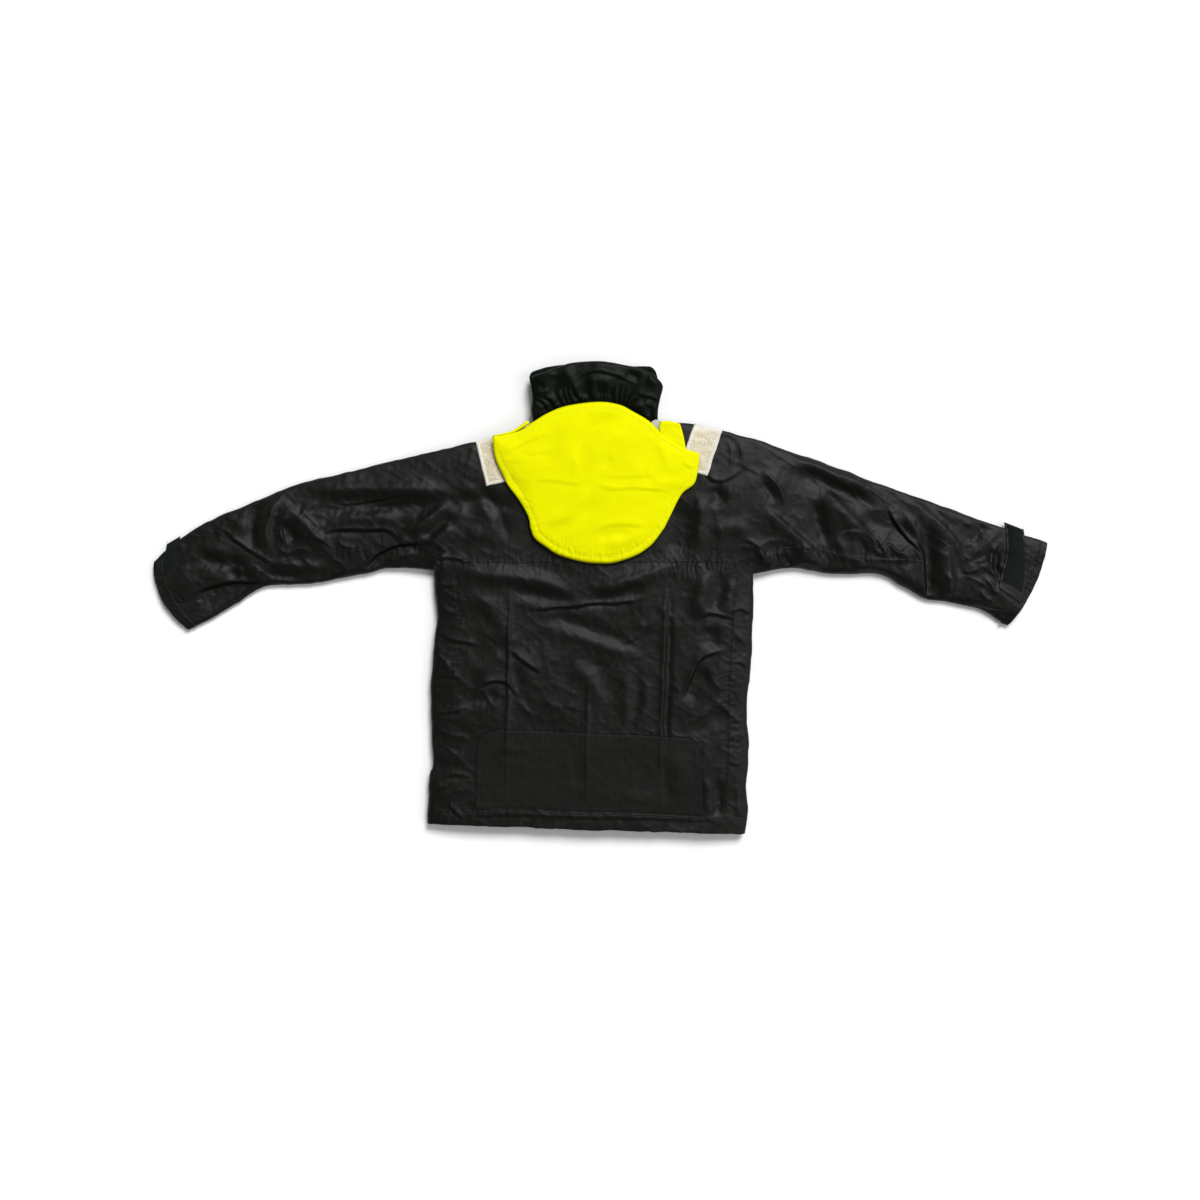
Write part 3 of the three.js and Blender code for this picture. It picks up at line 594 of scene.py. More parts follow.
class Cloth:
    """All the cloth of the back, sleeves and hem as one surface, cut into pieces that share their normals."""

    def __init__(self):
        self.points, self.faces, self.tags = [], [], []
        self.count = 0

    def add(self, p, tags, hoop=False, flip=False):
        """Adds a grid of points. tags names the piece that it goes to, or each row's."""
        rows, columns = p.shape[:2]
        faces = grid_faces(rows, columns, hoop, self.count)
        self.points.append(p.reshape(-1, 3))
        self.faces.append(faces[:, ::-1] if flip else faces)
        self.tags.append(np.repeat(np.broadcast_to(tags, rows - 1), columns if hoop else columns - 1))
        self.count += rows * columns

    def finish(self):
        """Joins the points that grids share, and gives each the normal of the whole surface."""
        points, faces = np.vstack(self.points), np.vstack(self.faces)
        _, first, same = np.unique(np.round(points, 2), axis=0, return_index=True, return_inverse=True)
        self.points, faces = points[first], same.reshape(-1)[faces]
        n = np.cross(self.points[faces[:, 2]] - self.points[faces[:, 0]],
                     self.points[faces[:, 3]] - self.points[faces[:, 1]])
        total = np.zeros_like(self.points)
        for k in range(4):
            np.add.at(total, faces[:, k], n)
        self.normals = total / np.maximum(np.linalg.norm(total, axis=1, keepdims=True), 1e-12)
        self.faces, self.tags = faces, np.concatenate(self.tags)
        return self

    def piece(self, name, tags):
        faces = self.faces[np.isin(self.tags, tags)]
        used, renumbered = np.unique(faces, return_inverse=True)
        piece = new_mesh(name, self.points[used] * MM, renumbered.reshape(-1, 4))
        piece.data.normals_split_custom_set_from_vertices([tuple(n) for n in self.normals[used]])
        return piece


# Nominal lengths that set how many points a grid has
TORSO_LENGTH, TORSO_WIDTH, SLEEVE_LENGTH, SLEEVE_WIDTH = 440, 560, 540, 215
BODY_TURN, NECK_TURN = 42, 30  # how far the back's cloth goes on underneath, at its sides and at the shoulders
SLEEVE_PARTS = ("shoulder", "elbow", "cuff")
ELBOW_FROM, ELBOW_TO = 0.40, 0.82  # the shares of a sleeve where its middle part begins and ends
HEM_ROWS, HEM_THICK = 10, 4.0
CUFF_ROWS, CUFF_THICK = 16, 2.6


def side_points(low, high, rows):
    """The body's left and right edge in step, from low to high. Each holds the y of the left and right."""
    return [np.column_stack([edge(y), y]) for edge, y in
            ((LEFT_X, np.linspace(low[0], high[0], rows)), (RIGHT_X, np.linspace(low[1], high[1], rows)))]


def build_cloth():
    cloth = Cloth()
    hem_y = HEM_LEFT[1], HEM_RIGHT[1]
    seam_y = hem_y[0] + HEM_BAND, hem_y[1] + HEM_BAND
    columns = int(TORSO_WIDTH / CELL)
    underarm_y = [SLEEVE[side]["bottom"][0][1] for side in SIDES]
    left, right = side_points(seam_y, underarm_y, int(TORSO_LENGTH / CELL))
    torso = across(left, right, columns)
    cloth.add(lifted(torso), "body")
    for edge, a, b in ((torso[:, :1], left, right), (torso[:, -1:], right, left)):
        cloth.add(np.concatenate([lifted(edge), underside(a, b, 0, BODY_TURN)], axis=1), "body", flip=a is left)

    length = int(SLEEVE_LENGTH / CELL)
    starts = {}
    for side in SIDES:
        a, b = spline(SLEEVE[side]["bottom"], length), spline(SLEEVE[side]["top"], length)
        plan = across(a, b, int(SLEEVE_WIDTH / CELL))
        starts[side] = plan[0]
        ring = np.concatenate([lifted(plan), underside(a, b, 24)], axis=1)
        ring = turned_in(ring, CUFF_THICK, CUFF_ROWS, 1 if side == "left" else -1)
        row = np.arange(len(ring) - 1)
        beyond = (row >= int(ELBOW_FROM * length)).astype(int) + (row >= int(ELBOW_TO * length))
        cloth.add(ring, [f"{side} {SLEEVE_PARTS[k]}" for k in beyond], hoop=True, flip=side == "right")

    last = torso[-1]
    fraction = np.linalg.norm(last - last[0], axis=1) / np.linalg.norm(last[-1] - last[0])
    line = spline(SHOULDER_TOP, 2000)
    run = np.linspace(0, 1, 2000)
    top = np.column_stack([np.interp(fraction, run, line[:, k]) for k in (0, 1)])
    yoke = coons(last, top, starts["left"], starts["right"])
    cloth.add(lifted(yoke), "body")
    fold_under = underside(top, top - [0, 60], 0, NECK_TURN)
    visible = (top[:, 0] <= NECK[0] + 6) | (top[:, 0] >= NECK[1] - 6)
    for keep in (visible & (top[:, 0] < 0), visible & (top[:, 0] > 0)):
        strip = np.concatenate([lifted(yoke[-1:][:, keep]).transpose(1, 0, 2), fold_under[keep]], axis=1)
        cloth.add(strip, "body")

    left, right = side_points(seam_y, hem_y, HEM_ROWS)
    ring = np.concatenate([lifted(across(left, right, columns)), underside(left, right, 40)], axis=1)
    cloth.add(turned_in(ring, HEM_THICK, HEM_ROWS, -1), "hem", hoop=True, flip=True)
    return cloth.finish()


# ---------- materials ----------
def material(name, colour, roughness, specular=0.5, thread=0.0, weave=0.0, crease=0.0, mottle=0.12,
             mottle_size=0.03, metallic=0.0, line_colour=None, rib=None):
    """A woven, moulded or coated finish. thread, weave and crease are in mm: the pitch of the weave,
    and the bump heights of the weave and of small creases. mottle is how much the colour varies, over
    mottle_size m. rib is (pitch, height, spacing of the cross bars over that of the lines)."""
    m = bpy.data.materials.new(name)
    m.use_nodes = True
    nodes, links = m.node_tree.nodes, m.node_tree.links
    shader = nodes["Principled BSDF"]
    shader.inputs["Roughness"].default_value = roughness
    shader.inputs["Specular IOR Level"].default_value = specular
    shader.inputs["Metallic"].default_value = metallic
    place = nodes.new("ShaderNodeTexCoord").outputs["Object"]

    def add(kind, **values):
        node = nodes.new(kind)
        for key, value in values.items():
            if hasattr(node, key):
                setattr(node, key, value)
            else:
                node.inputs[key.replace("_", " ")].default_value = value
        return node

    def wave(pitch, direction, distortion=0.0):
        node = add("ShaderNodeTexWave", bands_direction=direction, Scale=math.pi / 10 / (pitch * MM),
                   Distortion=distortion, Detail=1.0)
        links.new(place, node.inputs["Vector"])
        return node.outputs["Fac"]

    def grain(size, detail=3.0):
        node = add("ShaderNodeTexNoise", Scale=1 / size, Detail=detail)
        links.new(place, node.inputs["Vector"])
        return node.outputs["Fac"]

    def math_node(operation, a, b):
        node = add("ShaderNodeMath", operation=operation)
        for socket, value in zip(node.inputs, (a, b)):
            if isinstance(value, (int, float)):
                socket.default_value = value
            else:
                links.new(value, socket)
        return node.outputs[0]

    shade = add("ShaderNodeValToRGB")
    low, high = shade.color_ramp.elements
    low.position, high.position = 0.3, 0.7
    low.color = (*[c * (1 - mottle) for c in colour], 1)
    high.color = (*[c * (1 + mottle) for c in colour], 1)
    links.new(grain(mottle_size, 6.0), shade.inputs["Fac"])
    result = shade.outputs["Color"]
    height = None
    if thread:
        threads = math_node("MULTIPLY", math_node("ADD", wave(thread, "X"), wave(thread, "Y")), weave)
        height = threads
        mix = add("ShaderNodeMix", data_type="RGBA", blend_type="MULTIPLY")
        mix.inputs["Factor"].default_value = 0.35
        links.new(result, mix.inputs[6])
        links.new(wave(thread, "DIAGONAL"), mix.inputs[7])
        result = mix.outputs[2]
    if rib:
        pitch, rise, gap = rib
        lines = math_node("POWER", wave(pitch, "X", 0.6), 3.0)
        bars = math_node("POWER", wave(pitch * gap, "Y", 0.4), 6.0)
        lattice = math_node("MAXIMUM", lines, math_node("MULTIPLY", bars, 0.5))
        mix = add("ShaderNodeMix", data_type="RGBA")
        links.new(math_node("MULTIPLY", lattice, 0.7), mix.inputs["Factor"])
        links.new(result, mix.inputs[6])
        mix.inputs[7].default_value = (*line_colour, 1)
        result = mix.outputs[2]
        raised = math_node("MULTIPLY", lattice, rise)
        height = raised if height is None else math_node("ADD", height, raised)
    if crease:
        creases = math_node("MULTIPLY", grain(0.012, 4.0), crease)
        height = creases if height is None else math_node("ADD", height, creases)
    links.new(result, shader.inputs["Base Color"])
    rough = add("ShaderNodeMapRange")
    rough.inputs["To Min"].default_value = max(roughness - 0.07, 0.05)
    rough.inputs["To Max"].default_value = min(roughness + 0.07, 1.0)
    links.new(grain(mottle_size * 0.6, 4.0), rough.inputs["Value"])
    links.new(rough.outputs[0], shader.inputs["Roughness"])
    if height is not None:
        bump = add("ShaderNodeBump", Distance=MM, Strength=1.0)
        links.new(height, bump.inputs["Height"])
        links.new(bump.outputs["Normal"], shader.inputs["Normal"])
    return m


SHELL = material("shell_fabric", (0.0021, 0.0025, 0.0012), 0.49, 0.21, 0.9, 0.03, 0.5, 0.22, 0.05)
# painted shade: the colour of the seam gaps and of the seat patch's edge strip stands in for the shadow in a
# seam's groove
SEAM_SHADE = material("seam_painted_shade", (0.0040, 0.0042, 0.0036), 0.7, 0.1, 0.9, 0.03, 0.2, 0.2)
# painted shade: the collar's own copy of the shell fabric, greener and less glossy, stands in for the shade on
# the collar
COLLAR_SHADE = material("collar_painted_shade", (0.0012, 0.0036, 0.0006), 0.46, 0.10, 0.9, 0.03, 0.5, 0.25, 0.03)
THREAD = material("black_thread", (0.007, 0.007, 0.006), 0.75, 0.1, 0.5, 0.05)
SEAT = material("seat_fabric", (0.0036, 0.0037, 0.0030), 0.6, 0.10, 0.8, 0.03, 0.3, 0.2, 0.04,
                line_colour=(0.019, 0.019, 0.017), rib=(3.2, 0.10, 1.6))
HOOD = material("hood_fabric", (0.95, 0.95, 0.0006), 0.7, 0.02, 0.9, 0.03, 0.35, 0.02, 0.06)
HOOD_THREAD = material("yellow_thread", (0.80, 0.84, 0.05), 0.6, 0.3, 0.5, 0.05)
FILM = material("reflective_film", (0.50, 0.44, 0.30), 0.38, 0.6, 0.0, 0, 0.35, 0.22, 0.004,
                line_colour=(0.78, 0.71, 0.54), rib=(2.6, 0.06, 1.0))
FILM_EDGE = material("reflector_border", (0.82, 0.79, 0.70), 0.5, 0.4, 0.7, 0.03, 0.2, 0.08, 0.004)
HOOK = material("hook_and_loop", (0.0036, 0.0084, 0.0062), 0.8, 0.2, 1.1, 0.30, 1.2, 0.55, 0.004)
FLEECE = material("fleece", (0.0050, 0.0085, 0.0055), 0.95, 0.1, 1.4, 0.1, 1.4, 0.35, 0.006)
LINING = material("lining", (0.02, 0.021, 0.022), 0.5, 0.3, 0.7, 0.03, 0.3, 0.2)
TRIM = material("trim", (0.012, 0.012, 0.012), 0.45, 0.45, 0.0, 0, 0.15, 0.25, 0.01)
METAL = material("zip_metal", (0.30, 0.30, 0.31), 0.34, 0.5, 0.0, 0, 0.1, 0.15, 0.004, metallic=0.9)
GREY = material("grey_tape", (0.55, 0.54, 0.50), 0.7, 0.3, 1.0, 0.08, 0.2, 0.1, 0.01)
SLOTS = {"shell_fabric": SHELL, "seat_fabric": SEAT, "hood_fabric": HOOD, "reflective_film": FILM,
         "hook_and_loop": HOOK, "lining": LINING, "fleece": FLEECE, "trim": TRIM, "zip_metal": METAL,
         "grey_tape": GREY}


def finish(piece, slot, *extra):
    """Gives a piece its materials and names the slot of the first."""
    for m in (SLOTS[slot], *extra):
        piece.data.materials.append(m)
    return piece


# ---------- the cloth ----------
cloth = build_cloth()
back = cloth.piece("jacket_back", ["body"])
hem = cloth.piece("jacket_hem", ["hem"])
sleeves = {(side, part): cloth.piece(f"{side}_sleeve_{part}", [f"{side} {part}"])
           for side in SIDES for part in SLEEVE_PARTS}


def attach(piece, side, part):
    """Parents a piece to the root, or a cuff piece to its side's forearm; shoulder and elbow pieces only get
    their place baked in.
    """
    if part == "root":
        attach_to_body(piece, "root")
    elif part == "shoulder":
        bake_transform(piece)
    elif part == "elbow":
        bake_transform(piece)
    else:
        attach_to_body(piece, f"{side}_forearm")


for piece in (back, hem):
    finish(piece, "shell_fabric")
    attach(piece, None, "root")
for (side, part), piece in sleeves.items():
    finish(piece, "shell_fabric")
    attach(piece, side, part)
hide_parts("back_panel", "back_yoke", "left_side_panel", "right_side_panel")
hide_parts("hem_channel")
for side in SIDES:
    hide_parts(f"{side}_upper_sleeve", f"{side}_upper_sleeve_under")
    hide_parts(f"{side}_forearm_sleeve", f"{side}_forearm_sleeve_under")


# ---------- seams, stitches and sewn-on patches ----------
class Parts:
    """Vertices and faces of several bits that become one piece, each face with its material's number."""

    def __init__(self):
        self.points, self.faces, self.marks, self.count = [], [], [], 0

    def add(self, points, faces, mark=0):
        self.points.append(np.asarray(points, float).reshape(-1, 3))
        self.faces += [tuple(int(k) + self.count for k in f) for f in faces]
        self.marks += [mark] * len(faces)
        self.count += len(self.points[-1])

    def piece(self, name):
        piece = new_mesh(name, np.vstack(self.points) * MM, self.faces)
        piece.data.polygons.foreach_set("material_index", self.marks)
        return piece


def on_cloth(plan, rise):
    """Plan points [rows, columns, 2] laid on the cloth and raised by rise mm, a number or one per point."""
    x, y = plan[..., 0], plan[..., 1]
    outside = np.maximum(edge_distance(x, y), 3.0)
    p = settled(np.dstack([plan, top_height(x, y, outside)]))
    p[..., 2] += rise
    return p


def offsets(path, distances, step):
    """Plan points beside a path, one row per step along it and one column per distance to its left."""
    line = spline(path, max(int(length_of(path) / step), 3))
    run = np.gradient(line, axis=0)
    run /= np.linalg.norm(run, axis=1, keepdims=True)
    left = np.column_stack([-run[:, 1], run[:, 0]])
    return line[:, None] + left[:, None] * np.array(distances)[None, :, None]


def length_of(path):
    return np.linalg.norm(np.diff(spline(path, 60), axis=0), axis=1).sum()


# One stitch: the six points of its base, in halves of its length and width, and the two of its ridge above
STITCH_BASE = ((-1, 0), (-0.6, -1), (0.6, -1), (1, 0), (0.6, 1), (-0.6, 1))
STITCH_FACES = [(0, 1, 6), (1, 2, 7, 6), (2, 3, 7), (3, 4, 7), (4, 5, 6, 7), (5, 0, 6)]
STITCH_SUNK = np.array([0, 0, 0.3])


def stitches(parts, surface, path, distances, mark, pitch=4.2, size=(2.7, 0.5, 0.16)):
    """A row of raised thread dashes at each distance beside a path. surface lays plan points on the cloth, and
    size is a dash's length, width and height."""
    long, wide, high = size
    for distance in distances:
        plan = offsets(path, [distance], pitch / 3)
        p = surface(plan, 0.25)[:, 0]
        for k in range(1, len(p) - 2, 3):
            run = p[k + 1] - p[k]
            run = run / max(np.linalg.norm(run), 1e-6)
            side = np.array([-run[1], run[0], 0.0])
            middle = (p[k] + p[k + 1]) / 2
            base = [middle + run * long / 2 * a + side * wide / 2 * b - STITCH_SUNK for a, b in STITCH_BASE]
            ridge = [middle + run * long / 2 * a * 0.6 + np.array([0, 0, high]) for a in (-1, 1)]
            parts.add(base + ridge, STITCH_FACES, mark)


# A lapped seam across its path: how far to the left, and how high. The sunk gap between two columns gets
# painted shade.
LAP = (2.9, 2.5, 0.95, 0.6, -0.6, -1.1, -2.4, -2.9)
LAP_RISE = np.array([-0.4, 0.1, 0.32, 0.06, 0.06, 0.26, 0.1, -0.4])
GAP_COLUMNS = {3, 4}


def seam(name, path, side, part, rows=(1.7, -1.7)):
    """A lapped seam whose sunk gap gets painted shade, and rows of stitches, laid on the cloth."""
    parts = Parts()
    p = on_cloth(offsets(path, LAP, 2.5), LAP_RISE)
    faces = grid_faces(len(p), len(LAP))[:, ::-1]
    parts.add(p, faces)
    parts.marks = [int(set(face % len(LAP)) == GAP_COLUMNS) for face in faces]
    stitches(parts, on_cloth, path, rows, 2)
    attach(finish(parts.piece(name), "shell_fabric", SEAM_SHADE, THREAD), side, part)


BODY_SEAMS = {
    "yoke_seam": xy("-270,67 -120,67 60,67 246,67"),
    "left_side_seam": xy("-276,46 -273,31 -265,-49 -269,-129 -273,-250 -276,-386"),
    "right_side_seam": xy("256,46 253,35 244,-45 239,-186 235,-290 232,-400"),
}
for name, path in BODY_SEAMS.items():
    seam(name, path, None, "root")
seam("hem_seam", xy("-313,-392 -150,-395 80,-401 266,-408"), None, "root", (1.7, -1.7, 4.4))
SLEEVE_SEAMS = {
    "left": (xy("-276,66 -312,88 -370,97 -452,88"), xy("-452,88 -500,85 -560,75 -612,60"), -6.0),
    "right": (xy("252,66 300,84 370,92 452,79"), xy("452,79 520,70 560,68 597,66"), 6.0),
}
for side, (upper, lower, cuff_row) in SLEEVE_SEAMS.items():
    seam(f"{side}_sleeve_seam", upper, side, "shoulder")
    seam(f"{side}_elbow_seam", lower, side, "elbow")
    seam(f"{side}_cuff_seam", CUFF_SEAM[side], side, "cuff", (1.7, -1.7, cuff_row))


def sewn_patch(sides, rise, edge_rise):
    """A patch laid on the cloth from its bottom, top, left and right sides. Its edge turns down into it."""
    bottom, top, left, right = sides
    columns, rows = int(length_of(bottom) / 2.6), int(length_of(left) / 2.6)
    plan = coons(spline(bottom, columns), spline(top, columns), spline(left, rows), spline(right, rows))
    lift = np.full(plan.shape[:2], rise)
    lift[0] = lift[-1] = edge_rise
    lift[:, 0] = lift[:, -1] = edge_rise
    parts = Parts()
    parts.add(on_cloth(plan, lift), grid_faces(rows, columns))
    return parts


PATCH = (xy("-231,-388 -100,-391 60,-396 190,-401"),
         xy("-227,-268 -220,-254 -195,-243 -173,-241 -12,-248 152,-258 178,-268 187,-286"),
         [(-231, -388), (-229, -330), (-227, -268)],
         [(190, -401), (189, -340), (187, -286)])
parts = sewn_patch(PATCH, 0.9, -0.5)
border = PATCH[2] + PATCH[1][1:] + PATCH[3][::-1][1:]
stitches(parts, lambda plan, rise: on_cloth(plan, rise + 0.8), border, (-3.0, -6.5), 1)
seat = finish(parts.piece("seat_cloth"), "seat_fabric", THREAD)
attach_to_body(seat, "root")
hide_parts("seat_patch")
parts = Parts()
p = on_cloth(offsets(border, (1.6, 0.9, -0.2), 2.5), np.array([0.35, 0.5, 0.0]))
parts.add(p, grid_faces(len(p), 3)[:, ::-1])
edge = finish(parts.piece("seat_edge"), "shell_fabric")
# the seat patch's edge strip takes the seams' painted shade
edge.data.materials[0] = SEAM_SHADE
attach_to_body(edge, "root")


def reflector(name, corners, ties, node):
    """A reflective patch with a white stitched border and welded lines across it."""
    a, b, c, d = [np.array(k, float) for k in corners]  # bottom left, bottom right, top right, top left
    parts = sewn_patch(([a, b], [d, c], [a, d], [b, c]), 0.9, -0.3)
    at = lambda u, v: tuple((1 - v) * ((1 - u) * a + u * b) + v * ((1 - u) * d + u * c))
    for path in ([at(0, 0), at(1, 0)], [at(1, 0), at(1, 1)], [at(1, 1), at(0, 1)], [at(0, 1), at(0, 0)]):
        p = on_cloth(offsets(path, (5.6, 5.2, 4.4, 3.6, 0.2, -0.4), 2.2),
                     np.array([0.9, 1.25, 1.0, 1.35, 1.35, -0.2]))
        parts.add(p, grid_faces(len(p), 6)[:, ::-1], 1)
        stitches(parts, lambda plan, rise: on_cloth(plan, rise + 1.3), path, (2.0,), 1, 3.6, (2.4, 0.7, 0.5))
    for u0, v0, u1, v1 in ties:
        p = on_cloth(offsets([at(u0, v0), at(u1, v1)], (0.8, 0.35, -0.35, -0.8), 2.2),
                     np.array([0.8, 1.3, 1.3, 0.8]))
        parts.add(p, grid_faces(len(p), 4)[:, ::-1], 1)
    piece = finish(parts.piece(name), "reflective_film", FILM_EDGE)
    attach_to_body(piece, "root")
    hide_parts(node)


reflector("left_reflector", xy("-209,206 -158,219 -179,305 -229,289"),
          [(0.1, 0.92, 0.9, 0.62), (0.12, 0.16, 0.9, 0.50), (0.12, 0.16, 0.86, 0.06)],
          "left_shoulder_reflector")
reflector("right_reflector", xy("146,240 198,226 225,310 175,324"),
          [(0.1, 0.42, 0.88, 0.64), (0.88, 0.64, 0.55, 0.93), (0.1, 0.30, 0.6, 0.08)],
          "right_shoulder_reflector")


# ---------- closed soft forms ----------
def pillow(parts, sides, levels, cell, roll=5.0, soft=30.0, detail=None, tilt=None):
    """A closed soft form over its plan. levels are its underside, rim and crown, mm; detail(x, y, d) adds folds
    to its top, and tilt(x, y) raises all of it."""
    floor, rim, crown = levels
    bottom, top, left, right = sides
    columns = max(int(length_of(bottom) / cell), int(length_of(top) / cell), 4)
    rows = max(int(length_of(left) / cell), int(length_of(right) / cell), 4)
    lines = [spline(bottom, columns), spline(top, columns), spline(left, rows), spline(right, rows)]
    plan = coons(*lines)
    x, y = plan[..., 0], plan[..., 1]
    d = distance_to(lines, x, y)
    turn = np.sqrt(np.maximum(1 - (1 - np.clip(d / roll, 0, 1)) ** 2, 0))
    inner = np.ones(x.shape, bool)
    inner[0] = inner[-1] = inner[:, 0] = inner[:, -1] = False
    turn[~inner] = 0
    lean = tilt(x, y) if tilt else 0
    edge = min(0.5 * (crown - rim), 3.0)
    high = rim + edge * turn + (crown - rim - edge) * (1 - np.exp(-d / soft)) * inner + lean
    if detail:
        high += detail(x, y, d) * smooth(d, 0, 6)
    low = rim - (rim - floor) * turn + lean
    high = np.maximum(high, low + 0.4 * inner)
    faces = grid_faces(rows, columns)
    number = np.arange(rows * columns)
    under = number + rows * columns
    under[~inner.ravel()] = number[~inner.ravel()]
    parts.add(np.concatenate([np.dstack([plan, high]).reshape(-1, 3), np.dstack([plan, low]).reshape(-1, 3)]),
              np.concatenate([faces, under[faces][:, ::-1]]))


def tidy(piece):
    """Removes the unused points that a closed form's rim leaves."""
    b = bmesh.new()
    b.from_mesh(piece.data)
    bmesh.ops.delete(b, geom=[v for v in b.verts if not v.link_faces], context="VERTS")
    b.to_mesh(piece.data)
    b.free()
    piece.data.shade_smooth()
    return piece


# ---------- the hood ----------
HOOD_SIDES = (xy("-128,129 -120,110 -98,93 -75,79 -33,67 2,64 29,66 67,79 91,95 102,107 118,129"),
              xy("-198,297 -178,300 -148,308 -123,324 -95,341 -60,354 -4,361 35,356 61,343 91,325 117,300 "
                 "158,275 181,267"),
              xy("-128,129 -132,150 -148,179 -169,207 -178,225 -193,259 -198,297"),
              xy("118,129 129,151 150,191 172,209 179,229 183,259 181,267"))
HOOD_FOLDS = fold_table("""
soft -2.6 11  46,332 0,322 -30,290 -48,248
soft 2.2 13  60,306 20,296 -8,268 -20,240
soft 1.8 14  -20,334 -52,312 -70,270 -76,240
step 2.4 9  -178,262 -142,281 -104,299 -84,306
step 1.4 7  -146,264 -98,266 -70,278
step 1.9 8  -124,216 -80,214 -46,209 -20,212
step 2.4 9  -24,216 -5,206 24,199 58,201 92,199 138,194
step 1.4 7  -4,221 32,221 74,222 118,226
soft 3.0 12  -16,208 -58,158 -104,134
soft -2.6 12  0,190 -40,144 -92,118
step 2.8 9  -16,116 14,132 48,134 90,128
soft -2.2 9  -8,108 20,118 60,120
soft 2.4 9  6,100 48,106 92,128
soft 2.0 10  88,212 128,212 168,210
step 1.7 7  146,252 160,242 176,236
soft 1.5 9  104,290 120,262 126,236
soft -1.5 9  20,262 12,248 8,236
crisp 1.2 5  -56,262 -42,244 -56,226
crisp 1.1 5  -186,256 -160,252 -130,256
crisp 1.0 5  84,244 92,232 84,222
crisp 1.0 5  62,224 70,232 80,246
soft -1.8 9  -176,226 -150,206 -136,182
""")
ROUND_SEAM = xy("-187,268 -170,232 -140,188 -121,150 -114,124 -94,104 -70,90 -32,78 2,75 28,77 62,90 84,104 "
                "106,128 120,152 142,192 164,214 172,238")
MOUTH_SEAM = xy("-186,291 -150,298 -120,314 -92,331 -58,344 -4,350 32,346 56,334 86,315 112,291 152,267")


def hood_detail(x, y, d):
    z = folded(x, y, HOOD_FOLDS)
    bottom = smooth(150 - y, 0, 60)
    z += (0.5 + 1.3 * bottom) * ruck(x, y, ROUND_SEAM, 1.0, 11, 10, 91)
    side, _ = along(x, y, ROUND_SEAM)
    z -= (0.7 + 0.8 * bottom) * np.exp(-((side / 2.4) ** 2))
    side, _ = along(x, y, MOUTH_SEAM)
    z -= 0.6 * np.exp(-((side / 2.2) ** 2))
    z += 0.35 * ruck(x, y, MOUTH_SEAM, 1.0, 12, 13, 95)
    z += smooth(d, 4, 30) * (0.9 * noise(x, y, 58, 21) + 0.45 * noise(x, y, 26, 22, 15, 1.6))
    return z + 0.35 * crinkle(x, y, 26, 23, 5, 2.2) + 0.12 * noise(x, y, 9, 24)


HOOD_LEVELS, HOOD_ROLL, HOOD_SOFT = (35.3, 39.0, 50.0), 5.0, 34
parts = Parts()
pillow(parts, HOOD_SIDES, HOOD_LEVELS, CELL, HOOD_ROLL, HOOD_SOFT, hood_detail)
hood_lines = [spline(s, 200) for s in HOOD_SIDES]


def on_hood(plan, rise):
    """Plan points laid on the hood's top."""
    x, y = plan[..., 0], plan[..., 1]
    _, rim, crown = HOOD_LEVELS
    d = distance_to(hood_lines, x, y)
    turn = np.sqrt(1 - (1 - np.clip(d / HOOD_ROLL, 0, 1)) ** 2)
    z = rim + 3 * turn + (crown - rim - 3) * (1 - np.exp(-d / HOOD_SOFT))
    z = z + hood_detail(x, y, d) * smooth(d, 0, 6)
    return np.dstack([plan, z + rise])


for path in (ROUND_SEAM, MOUTH_SEAM):
    stitches(parts, on_hood, path, (1.6, -1.6), 1, 4.4)
hood = finish(tidy(parts.piece("hood_pouch")), "hood_fabric", HOOD_THREAD)
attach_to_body(hood, "hood")
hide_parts("hood_top", "hood_under")
STRIPS = {"left": ([(-197, 297), (-160, 304), (-128, 322)], [(-196, 300), (-163, 308), (-134, 327)],
                   [(-197, 297), (-196, 300)], [(-128, 322), (-134, 327)]),
          "right": ([(112, 300), (136, 286), (158, 274)], [(111, 326), (128, 326), (147, 321)],
                    [(112, 300), (108, 313), (111, 326)], [(158, 274), (153, 300), (147, 321)])}
strip_folds = lambda x, y, d: 0.8 * noise(x, y, 11, 31) + 0.5 * crinkle(x, y, 12, 32, 70, 2)
for side, sides in STRIPS.items():
    parts = Parts()
    pillow(parts, sides, (35.2, 36.6, 38.6), 2.0, 1.5, 8, strip_folds)
    strip = finish(tidy(parts.piece(f"{side}_hood_side")), "hood_fabric")
    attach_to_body(strip, "hood")
    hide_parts(f"{side}_hood_strip")


# ---------- the collar ----------
ELASTIC = xy("-104,334 -64,353 -4,363 36,357 64,344 104,318")
COLLAR_FOLDS = fold_table("""
step 3.4 8  -42,392 -33,408 -6,416 22,411 46,402 68,392
soft 4.0 14  -28,396 0,400 30,394
soft 3.2 10  -70,430 -58,410 -46,388 -40,372
soft -3.0 9  -84,412 -82,392 -90,372
soft 2.6 11  -112,392 -100,408 -84,420
soft -3.2 8  44,414 60,410 76,402
step 3.2 8  62,380 78,372 97,368 114,360
step 2.4 7  78,358 94,352 106,342
crisp 2.2 6  -126,378 -104,380 -88,384
step 2.6 7  -122,346 -98,352 -80,364 -68,362
crisp 2.0 5  -118,334 -100,336 -84,342
soft 2.4 9  84,404 98,398 110,390
crisp 1.6 5  88,420 94,404 106,388
soft 1.6 8  -20,428 10,428 40,422
""")


